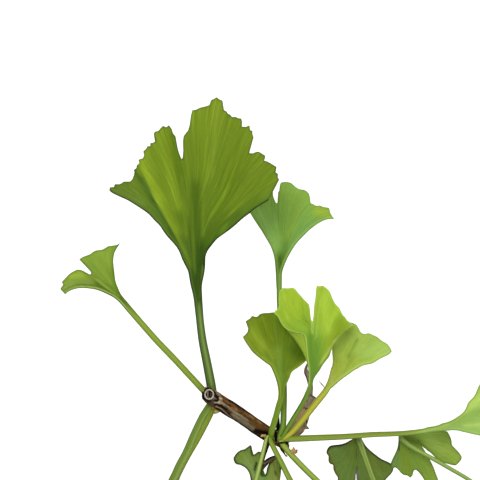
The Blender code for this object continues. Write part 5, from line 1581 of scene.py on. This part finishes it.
POT_RADIUS = 69 * MM
POT_HEIGHT = 58 * MM
POT_LIP_HEIGHT = 9 * MM
POT_WALL = 6 * MM
POT_FLOOR = 10 * MM
FOOT_RADIUS = 47 * MM
FOOT_WIDTH = 6 * MM
FOOT_HEIGHT = 5 * MM
DRAIN_RADIUS = 8 * MM
SCREEN_SIZE = 26 * MM
SCREEN_THICKNESS = 1 * MM
SOIL_EDGE = 50 * MM
SOIL_CROWN = 55 * MM
BOWL_STEP = 4 * MM
LIP_STEP = 3 * MM
FLOOR_CURVE = 4 * MM


def arc(centre, radius, start, end, steps):
    """Points on a circle arc in the profile, angles in degrees."""
    points = []
    for step in range(steps + 1):
        angle = math.radians(start + (end - start) * step / steps)
        points.append((centre[0] + radius * math.cos(angle), centre[1] + radius * math.sin(angle)))
    return points


def pot_outer_radius(height):
    """The bowl's outer radius between its base and the lip."""
    share = (height - FOOT_HEIGHT) / (POT_HEIGHT - POT_LIP_HEIGHT - FOOT_HEIGHT)
    low = FOOT_RADIUS + BOWL_STEP
    high = POT_RADIUS - LIP_STEP
    return low + (high - low) * math.sin(share * math.pi / 2)


def spun(profile, sides):
    """A bmesh turned round the vertical axis from (radius, height) points."""
    bm = bmesh.new()
    verts = [bm.verts.new((radius, 0, height)) for radius, height in profile]
    edges = [bm.edges.new(pair) for pair in zip(verts, [*verts[1:], verts[0]])]
    bmesh.ops.spin(
        bm, geom=[*verts, *edges], axis=(0, 0, 1), cent=(0, 0, 0), angle=math.tau, steps=sides,
        use_merge=True, use_duplicate=False,
    )
    bmesh.ops.remove_doubles(bm, verts=bm.verts, dist=1e-6)
    return bm


def pot_profile():
    """The pot's closed outline from its foot over the lip to the drain hole."""
    lip_low = POT_HEIGHT - POT_LIP_HEIGHT
    bowl = []
    for step in range(25):
        height = FOOT_HEIGHT + (lip_low - FOOT_HEIGHT) * step / 24
        bowl.append((pot_outer_radius(height), height))
    inner = []
    for step in range(13):
        height = lip_low + (POT_FLOOR + FLOOR_CURVE - lip_low) * step / 12
        inner.append((pot_outer_radius(height) - POT_WALL, height))
    return [
        (FOOT_RADIUS - FOOT_WIDTH, 0.5 * MM),
        (FOOT_RADIUS - FOOT_WIDTH + 0.5 * MM, 0),
        *arc((FOOT_RADIUS - 0.6 * MM, 0.6 * MM), 0.6 * MM, -90, 0, 4),
        (FOOT_RADIUS + 0.6 * MM, FOOT_HEIGHT - 0.4 * MM),
        *bowl,
        *arc((POT_RADIUS - 1.2 * MM, lip_low + 1.6 * MM), 1.2 * MM, -80, 0, 5),
        *arc((POT_RADIUS - 2 * MM, POT_HEIGHT - 2 * MM), 2 * MM, 0, 90, 8),
        *arc((POT_RADIUS - 6.2 * MM, POT_HEIGHT - 1.6 * MM), 1.6 * MM, 90, 180, 6),
        *inner,
        (inner[-1][0] - FLOOR_CURVE, POT_FLOOR),
        (DRAIN_RADIUS, POT_FLOOR),
        (DRAIN_RADIUS, FOOT_HEIGHT),
        (FOOT_RADIUS - FOOT_WIDTH - 0.6 * MM, FOOT_HEIGHT),
    ]


def build_pot(finish):
    """The round clay pot, with three gaps in its foot ring."""
    piece = finish_piece("clay_pot", spun(pot_profile(), 144), finish, ["pot"], sharp=45)
    bm = bmesh.new()
    for index in range(3):
        turn = Matrix.Rotation(math.radians(30 + 120 * index), 4, "Z")
        place = turn @ Matrix.Translation((FOOT_RADIUS - FOOT_WIDTH / 2, 0, 0))
        size = Matrix.Diagonal((FOOT_WIDTH + 4 * MM, 16 * MM, 2 * (FOOT_HEIGHT - 2 * MM), 1))
        bmesh.ops.create_cube(bm, size=1.0, matrix=place @ size)
    cutter = new_object("foot_gaps", bm)
    gaps = piece.modifiers.new("gaps", "BOOLEAN")
    gaps.operation = "DIFFERENCE"
    gaps.object = cutter
    gaps.solver = "EXACT"
    made = apply_modifiers(piece)
    bpy.data.objects.remove(cutter, do_unlink=True)
    made.set_sharp_from_angle(angle=math.radians(45))
    return piece


def soil_height(x, y):
    """Height of the soil's surface at a place."""
    edge = pot_outer_radius(POT_HEIGHT - POT_LIP_HEIGHT) - POT_WALL
    share = max(0.0, 1 - math.hypot(x, y) / edge)
    return SOIL_EDGE + (SOIL_CROWN - SOIL_EDGE) * math.sin(share * math.pi / 2)


def build_soil(finish):
    """The body of the soil, with a crumbly surface."""
    under_screen = POT_FLOOR + GAP + SCREEN_THICKNESS + GAP
    wall = []
    for step in range(8):
        height = POT_FLOOR + FLOOR_CURVE + (SOIL_EDGE - POT_FLOOR - FLOOR_CURVE) * step / 7
        radius = pot_outer_radius(min(height, POT_HEIGHT - POT_LIP_HEIGHT)) - POT_WALL - GAP
        wall.append((radius, height))
    edge = wall[-1][0]
    radii = [edge * (1 - step / 44) for step in range(1, 45)]
    profile = [
        (0, under_screen),
        (SCREEN_SIZE * 0.73, under_screen),
        (SCREEN_SIZE * 0.75, POT_FLOOR + GAP),
        (wall[0][0] - FLOOR_CURVE, POT_FLOOR + GAP),
        *wall,
        *((radius, soil_height(radius, 0)) for radius in radii),
    ]
    bm = spun(profile, 160)
    for vert in bm.verts:
        if vert.co.z > SOIL_EDGE - 1 * MM and vert.co.xy.length < edge - 0.5 * MM:
            crumb = noise.noise(vert.co * 420) * 0.5 + noise.noise(vert.co * 1100) * 0.3
            vert.co.z += crumb * MM
    return finish_piece("soil_body", bm, finish, ["soil"], sharp=60)


BATCH = 60


class Batches:
    """Gathers many small shapes in batches, because each operator walks the whole of its bmesh."""

    def __init__(self):
        self.whole = bmesh.new()
        self.start()

    def start(self):
        """Opens an empty batch."""
        self.part = bmesh.new()
        self.layers = new_mesh_layers(self.part)
        self.count = 0

    def shape(self, operator, tint, **settings):
        """Adds one shape in one colour and returns its corners."""
        if self.count == BATCH:
            self.gather()
        self.count += 1
        made = operator(self.part, **settings)["verts"]
        for vert in made:
            vert[self.layers[0]] = tint
            vert[self.layers[1]] = vert.co / MM
        return made

    def gather(self):
        """Moves the batch into the whole."""
        mesh = bpy.data.meshes.new("batch")
        self.part.to_mesh(mesh)
        self.whole.from_mesh(mesh)
        bpy.data.meshes.remove(mesh)
        self.part.free()
        self.start()
        return self.whole


GRIT_COLOURS = ((150, 112, 78), (122, 88, 62), (96, 74, 58), (168, 140, 108), (88, 82, 76))


def build_grit(settings, finish):
    """Loose grains of baked clay and stone on the soil, at random but always the same."""
    grains = Batches()
    chance = random.Random(21)
    edge = pot_outer_radius(POT_HEIGHT - POT_LIP_HEIGHT) - POT_WALL - 1.6 * MM
    shades = [seen(*colour) for colour in GRIT_COLOURS]
    for number in range(settings.grains):
        reach = edge * math.sqrt(chance.random())
        turn = chance.uniform(0, math.tau)
        size = chance.uniform(0.7, 1.5) * MM
        place = outward_at(turn, 0) * reach
        place.z = soil_height(place.x, place.y) + size * 0.15
        spin_turn = chance.uniform(0, math.tau)
        spin = Matrix.Rotation(spin_turn, 4, Vector((chance.random(), chance.random(), 1)))
        stretch = Matrix.Diagonal((1, chance.uniform(0.7, 1), chance.uniform(0.6, 0.9), 1))
        shade = shades[number % len(shades)] * chance.uniform(0.8, 1.15)
        made = grains.shape(
            bmesh.ops.create_icosphere, (*shade, 0.4), subdivisions=1, radius=size,
            matrix=Matrix.Translation(place) @ spin @ stretch,
        )
        for vert in made:
            vert.co += (vert.co - place) * chance.uniform(-0.16, 0.16)
    return finish_piece("soil_grit", grains.gather(), finish, [], sharp=20)


# Each cushion of moss: x, y, radius and height, in millimetres
MOSS = (
    (14, 17, 15, 3.2), (-36, 14, 13, 3.0), (-27, -22, 14, 3.2), (8, -24, 12, 2.8), (-6, 30, 12, 2.8),
    (30, 4, 10, 2.4), (26, -26, 9, 2.2), (-46, -6, 8, 2.0), (34, 26, 8, 2.0), (-22, 40, 9, 2.2),
)
MOSS_OVAL = 0.86
SHOOT_COLOURS = ((118, 142, 48), (98, 126, 40), (136, 156, 60))


def add_shoots(moss, chance, centre, size, count):
    """Adds small upright shoots all over one cushion."""
    for _ in range(count):
        turn = chance.uniform(0, math.tau)
        share = math.sqrt(chance.random()) * 0.97
        place = outward_at(turn, 0) * share + UP * math.sqrt(1 - share**2)
        sway = Vector((chance.uniform(-0.4, 0.4), chance.uniform(-0.4, 0.4), 0))
        lean = Vector((place.x * 0.5, place.y * 0.5, 1)) + sway
        length = chance.uniform(0.8, 1.5) * MM
        middle = centre + place * size + lean.normalized() * length * 0.35
        moss.shape(
            bmesh.ops.create_cone, (*seen(*chance.choice(SHOOT_COLOURS)), 0.4), cap_ends=True,
            segments=4, radius1=0.26 * MM, radius2=0.04 * MM, depth=length,
            matrix=Matrix.LocRotScale(middle, lean.to_track_quat("Z", "Y"), None),
        )


def build_moss(settings, finish):
    """Low cushions of moss round the foot of the trunk, with small upright shoots."""
    moss = Batches()
    chance = random.Random(33)
    for x, y, radius, height in MOSS:
        centre = mm(x, y, -0.6) + UP * soil_height(x * MM, y * MM)
        size = mm(radius, radius * MOSS_OVAL, height)
        made = moss.shape(
            bmesh.ops.create_icosphere, (1, 1, 1, 1), subdivisions=5, radius=1,
            matrix=Matrix.LocRotScale(centre, None, size),
        )
        for vert in made:
            lump = noise.noise(vert.co * 260) * 0.5 + noise.noise(vert.co * 700) * 0.32
            vert.co += (vert.co - centre).normalized() * lump * 1.2 * MM
            vert[moss.layers[0]] = (*(seen(94, 118, 40) * (1 + lump * 0.7)), 0.6)
        add_shoots(moss, chance, centre, size, int(settings.moss_shoots * radius))
    return finish_piece("moss_cushions", moss.gather(), finish, [], sharp=60)


# Materials


class Nodes:
    """Short ways to add and join the nodes of one material."""

    def __init__(self, name):
        self.material = bpy.data.materials.new(name)
        self.material.use_nodes = True
        self.tree = self.material.node_tree
        self.shader = self.tree.nodes["Principled BSDF"]

    def add(self, kind, inputs=None, **settings):
        """The outputs of a new node with its settings, and with values or links for its inputs."""
        node = self.tree.nodes.new("ShaderNode" + kind)
        for name, value in settings.items():
            setattr(node, name, value)
        for name, value in (inputs or {}).items():
            self.join(value, node.inputs[name])
        return node.outputs

    def join(self, value, socket):
        """Links a socket, or sets the input's own value."""
        if isinstance(value, bpy.types.NodeSocket):
            self.tree.links.new(value, socket)
        else:
            socket.default_value = value

    def own(self):
        """The piece's own tint, the strength of its streaks, and its grain."""
        tint = self.add("Attribute", attribute_name="tint")
        grain = self.add("Attribute", attribute_name="grain")
        return tint["Color"], tint["Alpha"], grain["Vector"]

    def place(self):
        """Where a point of the surface lies in the piece's own axes."""
        return self.add("TexCoord")["Object"]

    def math(self, operation, *values):
        """The result of one sum on two or three values."""
        return self.add("Math", dict(enumerate(values)), operation=operation)[0]

    def mix(self, factor, first, second):
        """Two colours mixed."""
        return self.add("Mix", {0: factor, 6: first, 7: second}, data_type="RGBA")[2]

    def lit(self, colour, lift):
        """A colour made lighter or darker."""
        return self.add("VectorMath", {0: colour, "Scale": lift}, operation="SCALE")[0]

    def noise(self, vector, scale, detail, rough=0.5):
        """A noise value at a vector that is stretched along its axes."""
        scaled = self.add("Mapping", {"Vector": vector, "Scale": scale})[0]
        values = {"Vector": scaled, "Scale": 1.0, "Detail": detail, "Roughness": rough}
        return self.add("TexNoise", values)[0]

    def span(self, value, low, high, to_low=0.0, to_high=1.0):
        """The value stretched from one range to another."""
        return self.add("MapRange", {0: value, 1: low, 2: high, 3: to_low, 4: to_high})[0]

    def finish(self, relief=None, **sockets):
        """Sets the shader's sockets and its relief: a height, its metres and its strength."""
        for name, value in sockets.items():
            self.join(value, self.shader.inputs[name.replace("_", " ")])
        if relief:
            values = dict(zip(("Height", "Distance", "Strength"), relief))
            self.join(self.add("Bump", values)[0], self.shader.inputs["Normal"])
        return self.material


def leaf_finish(settings):
    """Leaf skin: fine veins that fan out with the blade, soft streaks and a dull wax bloom."""
    made = Nodes("ginkgo_leaf")
    tint, strength, grain = made.own()
    broad = made.noise(grain, (0.55, 0.035, 1), 3, 0.6)
    fine = made.noise(grain, (1.9, 0.05, 1), 2, 0.6)
    mottle = made.noise(grain, (0.5, 0.5, 1), 4, 0.6)
    streaks = made.math("ADD", made.math("MULTIPLY", broad, 0.35), made.math("MULTIPLY", fine, 0.65))
    swing = made.math("MULTIPLY", made.span(streaks, 0.34, 0.66, -1.0, 1.0), strength)
    lift = made.math("MULTIPLY_ADD", swing, settings.streak_contrast, 1.0)
    lift = made.math("MULTIPLY", lift, made.span(mottle, 0.3, 0.7, 0.95, 1.05))
    veined = made.math("MULTIPLY", made.span(streaks, 0.54, 0.68, 0.0, 0.2), strength)
    veins = made.noise(grain, (3.4, 0.02, 1), 1)
    return made.finish(
        relief=(made.span(veins, 0.3, 0.7), 0.00006, 0.6),
        Base_Color=made.mix(veined, made.lit(tint, lift), settings.vein_colour),
        Roughness=made.span(mottle, 0.3, 0.7, 0.5, 0.62),
        Specular_IOR_Level=0.07,
    )


def bark_finish(settings):
    """Bark: long fibres, dark furrows and small pale warts."""
    made = Nodes("ginkgo_bark")
    tint, strength, grain = made.own()
    fibres = made.noise(grain, (3.2, 3.2, 0.32), 5, 0.62)
    patches = made.span(made.noise(grain, (0.8, 0.8, 0.16), 3), 0.3, 0.7, 0.8, 1.2)
    specks = made.span(made.noise(grain, (5, 5, 3), 2), 0.3, 0.7, 0.85, 1.15)
    lift = made.math("MULTIPLY", made.span(fibres, 0.3, 0.7, 0.5, 1.5), patches)
    lift = made.math("SUBTRACT", made.math("MULTIPLY", lift, specks), 1.0)
    lift = made.math("ADD", made.math("MULTIPLY", lift, strength), 1.0)
    return made.finish(
        relief=(made.span(fibres, 0.3, 0.7), settings.fibre_depth, 0.8),
        Base_Color=made.lit(tint, lift),
        Roughness=made.span(fibres, 0.3, 0.7, 0.92, 0.74),
        Specular_IOR_Level=0.06,
    )


def clay_finish(settings):
    """Unglazed clay: faint turning lines, specks and a pale bloom near the foot."""
    made = Nodes("fired_clay")
    place = made.place()
    lines = made.noise(place, (4, 4, 900), 2)
    clouds = made.noise(place, (30, 30, 30), 4)
    specks = made.noise(place, (1500, 1500, 1500), 1)
    base = made.mix(made.span(clouds, 0.35, 0.65), settings.clay_dark, settings.clay_light)
    base = made.mix(made.span(specks, 0.62, 0.7, 0.0, 0.5), base, (0.06, 0.04, 0.03, 1))
    base = made.mix(made.span(lines, 0.5, 0.75, 0.0, 0.2), base, (0.42, 0.3, 0.22, 1))
    height = made.add("SeparateXYZ", {0: place})[2]
    bloom = made.math("MULTIPLY", made.span(height, 0.016, 0.0), made.span(clouds, 0.4, 0.6))
    base = made.mix(made.math("MULTIPLY", bloom, 0.35), base, (0.55, 0.48, 0.42, 1))
    relief = made.math("ADD", made.math("MULTIPLY", lines, 0.6), made.math("MULTIPLY", specks, 0.4))
    return made.finish(
        relief=(relief, 0.0002, 0.6),
        Base_Color=base,
        Roughness=made.span(clouds, 0.3, 0.7, 0.62, 0.8),
        Specular_IOR_Level=0.35,
    )


def soil_finish():
    """Dark, crumbly soil."""
    made = Nodes("bonsai_soil")
    place = made.place()
    crumbs = made.noise(place, (700, 700, 700), 4, 0.65)
    patches = made.noise(place, (90, 90, 90), 3)
    base = made.mix(made.span(crumbs, 0.35, 0.65), (0.035, 0.022, 0.014, 1), (0.15, 0.098, 0.06, 1))
    return made.finish(
        relief=(crumbs, 0.0006, 1.0),
        Base_Color=made.mix(made.span(patches, 0.45, 0.65, 0.0, 0.4), base, (0.09, 0.06, 0.04, 1)),
        Roughness=made.span(crumbs, 0.3, 0.7, 0.98, 0.86),
        Specular_IOR_Level=0.15,
    )


def speckled_finish(name, scale, contrast, relief):
    """A dull finish in the piece's own tint, with fine specks: grit and moss."""
    made = Nodes(name)
    tint, _, grain = made.own()
    specks = made.noise(grain, (scale, scale, scale), 3, 0.6)
    return made.finish(
        relief=(specks, relief, 1.0),
        Base_Color=made.lit(tint, made.span(specks, 0.3, 0.7, 1 - contrast, 1 + contrast)),
        Roughness=made.span(specks, 0.3, 0.7, 0.95, 0.8),
        Specular_IOR_Level=0.15,
    )


def screen_finish():
    """Black moulded mesh with a faint grain."""
    made = Nodes("black_mesh")
    grain = made.noise(made.place(), (900, 900, 900), 2)
    return made.finish(
        relief=(grain, 0.0001, 1.0),
        Base_Color=made.mix(grain, (0.02, 0.02, 0.02, 1), (0.06, 0.06, 0.06, 1)),
        Roughness=made.span(grain, 0.3, 0.7, 0.4, 0.6),
    )


def floor_finish(colour):
    """The studio's plain pale floor."""
    return Nodes("studio_floor").finish(Base_Color=colour, Roughness=0.9, Specular_IOR_Level=0.1)


# Settings that a user would change


class GinkgoLeafSettings(bpy.types.PropertyGroup):
    """Looks of all leaves."""

    streak_contrast: bpy.props.FloatProperty(
        name="Streak contrast", description="How much lighter and darker the streaks between the veins are",
        default=0.26, min=0, max=1,
    )
    vein_colour: bpy.props.FloatVectorProperty(
        name="Vein colour", description="Pale colour of the raised veins", subtype="COLOR", size=4,
        default=(0.28, 0.38, 0.03, 1),
    )


class GinkgoWoodSettings(bpy.types.PropertyGroup):
    """Looks of the trunk, branches and twigs."""

    skin_step: bpy.props.FloatProperty(
        name="Skin step", description="Size of the faces of the trunk's skin", default=0.00055, unit="LENGTH",
    )
    furrows: bpy.props.FloatProperty(
        name="Furrows", description="Depth of the bark's furrows beside that of old bark", default=1.0,
    )
    fibre_depth: bpy.props.FloatProperty(
        name="Fibre depth", description="Relief of the bark's fibres", default=0.0003, unit="LENGTH",
    )


class GinkgoPotSettings(bpy.types.PropertyGroup):
    """Looks of the pot and what lies in it."""

    clay_dark: bpy.props.FloatVectorProperty(
        name="Dark clay", description="Darker colour of the clay", subtype="COLOR", size=4,
        default=(0.16, 0.085, 0.055, 1),
    )
    clay_light: bpy.props.FloatVectorProperty(
        name="Light clay", description="Lighter colour of the clay", subtype="COLOR", size=4,
        default=(0.25, 0.14, 0.09, 1),
    )
    grains: bpy.props.IntProperty(name="Grains", description="Loose grains on the soil", default=2600)
    moss_shoots: bpy.props.FloatProperty(
        name="Moss shoots", description="Shoots for each millimetre of a cushion's radius", default=34,
    )


class GinkgoStageSettings(bpy.types.PropertyGroup):
    """The studio."""

    floor_colour: bpy.props.FloatVectorProperty(
        name="Floor", description="Colour of the floor", subtype="COLOR", size=4,
        default=(0.93, 0.93, 0.93, 1),
    )
    sky: bpy.props.FloatProperty(name="Sky", description="Strength of the light from all sides", default=1.1)
    sun: bpy.props.FloatProperty(name="Sun", description="Strength of the main light", default=1.5)
    floor_radius: bpy.props.FloatProperty(
        name="Floor radius", description="How far the floor reaches", default=9.0, unit="LENGTH",
    )


class GINKGO_OT_twig_leaves(bpy.types.Operator):
    """Build the leaves at the main spur and at the twig's end"""

    bl_idname = "ginkgo.twig_leaves"
    bl_label = "Leaves of the twig"

    def execute(self, context):
        finish = leaf_finish(context.scene.ginkgo_leaves)
        build_bunch("leaves_main_spur", MAIN_BUD, -VIEW_AWAY, main_spur_leaves(), finish)
        build_bunch("leaves_twig_end", TWIG_BUD, VIEW_AWAY, twig_end_leaves(), finish)
        return {"FINISHED"}


class GINKGO_OT_lower_leaves(bpy.types.Operator):
    """Build the leaves of the lower branches, one bunch for each spur"""

    bl_idname = "ginkgo.lower_leaves"
    bl_label = "Leaves of the lower branches"

    def execute(self, context):
        finish = leaf_finish(context.scene.ginkgo_leaves)
        for name, centre, along, drawn, settings, seed in BUNCHES:
            build_bunch(name, centre, along, [*drawn, *spray(centre, settings, seed)], finish)
        return {"FINISHED"}


class GINKGO_OT_wood(bpy.types.Operator):
    """Build the roots, trunk and branches, the pruned twig and the old leader's stub"""

    bl_idname = "ginkgo.wood"
    bl_label = "Wood"

    def execute(self, context):
        finish = bark_finish(context.scene.ginkgo_wood)
        build_trunk(context.scene.ginkgo_wood, finish)
        build_top_growth(finish)
        return {"FINISHED"}


class GINKGO_OT_soil(bpy.types.Operator):
    """Build the soil, its loose grit and its moss"""

    bl_idname = "ginkgo.soil"
    bl_label = "Soil and moss"

    def execute(self, context):
        build_soil(soil_finish())
        build_grit(context.scene.ginkgo_pot, speckled_finish("baked_grit", 2.5, 0.25, 0.0002))
        build_moss(context.scene.ginkgo_pot, speckled_finish("moss", 3.0, 0.4, 0.0003))
        return {"FINISHED"}


class GINKGO_OT_pot(bpy.types.Operator):
    """Build the clay pot, and finish the screen over its drain hole"""

    bl_idname = "ginkgo.pot"
    bl_label = "Pot and screen"

    def execute(self, context):
        build_pot(clay_finish(context.scene.ginkgo_pot))
        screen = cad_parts["drain_screen"]
        finish = screen_finish()
        for slot in screen.material_slots:
            slot.material = finish
        return {"FINISHED"}


class GINKGO_OT_stage(bpy.types.Operator):
    """Set up the floor, the lights and the camera"""

    bl_idname = "ginkgo.stage"
    bl_label = "Stage"

    def execute(self, context):
        settings = context.scene.ginkgo_stage
        bm = bmesh.new()
        bmesh.ops.create_circle(bm, cap_ends=True, segments=96, radius=settings.floor_radius)
        floor = new_object("studio_floor", bm)
        floor.data.materials.append(floor_finish(settings.floor_colour))
        add_lights(context, settings)
        add_camera(context)
        context.scene.view_settings.view_transform = "Standard"
        return {"FINISHED"}


def add_lights(context, settings):
    """White light from all sides, and a soft main light from the front and above."""
    world = bpy.data.worlds.new("white_room")
    world.use_nodes = True
    background = world.node_tree.nodes["Background"]
    background.inputs["Color"].default_value = (1, 1, 1, 1)
    background.inputs["Strength"].default_value = settings.sky
    context.scene.world = world
    light = bpy.data.lights.new("main_light", "SUN")
    light.energy = settings.sun
    light.angle = math.radians(24)
    lamp = bpy.data.objects.new("main_light", light)
    lamp.rotation_euler = (math.radians(60), 0, math.radians(-14))
    context.scene.collection.objects.link(lamp)


def add_camera(context):
    """The camera at the reference view's eye."""
    data = bpy.data.cameras.new("reference_view")
    data.sensor_width = SENSOR
    data.lens = SENSOR * VIEW_DISTANCE / (VIEW_SIZE * PIXEL)
    camera = bpy.data.objects.new("reference_view", data)
    axes = (VIEW_RIGHT, VIEW_UP, -VIEW_AWAY, EYE)
    camera.matrix_world = Matrix([[axis[row] for axis in axes] for row in range(3)] + [[0, 0, 0, 1]])
    context.scene.collection.objects.link(camera)
    context.scene.camera = camera


OPERATORS = (
    GINKGO_OT_pot, GINKGO_OT_soil, GINKGO_OT_wood, GINKGO_OT_twig_leaves, GINKGO_OT_lower_leaves,
    GINKGO_OT_stage,
)


class GINKGO_PT_panel(bpy.types.Panel):
    """Lists the steps that build the bonsai."""

    bl_label = "Ginkgo bonsai"
    bl_idname = "GINKGO_PT_panel"
    bl_space_type = "VIEW_3D"
    bl_region_type = "UI"
    bl_category = "Ginkgo"

    def draw(self, context):
        for operator in OPERATORS:
            self.layout.operator(operator.bl_idname)
        for name in GROUPS:
            settings = getattr(context.scene, name)
            for key in settings.bl_rna.properties.keys():
                if key not in {"rna_type", "name"}:
                    self.layout.prop(settings, key)


GROUPS = {
    "ginkgo_leaves": GinkgoLeafSettings,
    "ginkgo_wood": GinkgoWoodSettings,
    "ginkgo_pot": GinkgoPotSettings,
    "ginkgo_stage": GinkgoStageSettings,
}


def register():
    """Adds the settings, the operators and the panel."""
    for name, group in GROUPS.items():
        bpy.utils.register_class(group)
        setattr(bpy.types.Scene, name, bpy.props.PointerProperty(type=group))
    for kind in (*OPERATORS, GINKGO_PT_panel):
        bpy.utils.register_class(kind)


def unregister():
    """Removes what register added."""
    for kind in (GINKGO_PT_panel, *reversed(OPERATORS)):
        bpy.utils.unregister_class(kind)
    for name, group in GROUPS.items():
        delattr(bpy.types.Scene, name)
        bpy.utils.unregister_class(group)


def main():
    """Builds every piece in order."""
    register()
    bpy.ops.ginkgo.pot()
    bpy.ops.ginkgo.soil()
    bpy.ops.ginkgo.wood()
    bpy.ops.ginkgo.twig_leaves()
    bpy.ops.ginkgo.lower_leaves()
    bpy.ops.ginkgo.stage()
    bpy.context.view_layer.update()


if __name__ == "__main__":
    main()
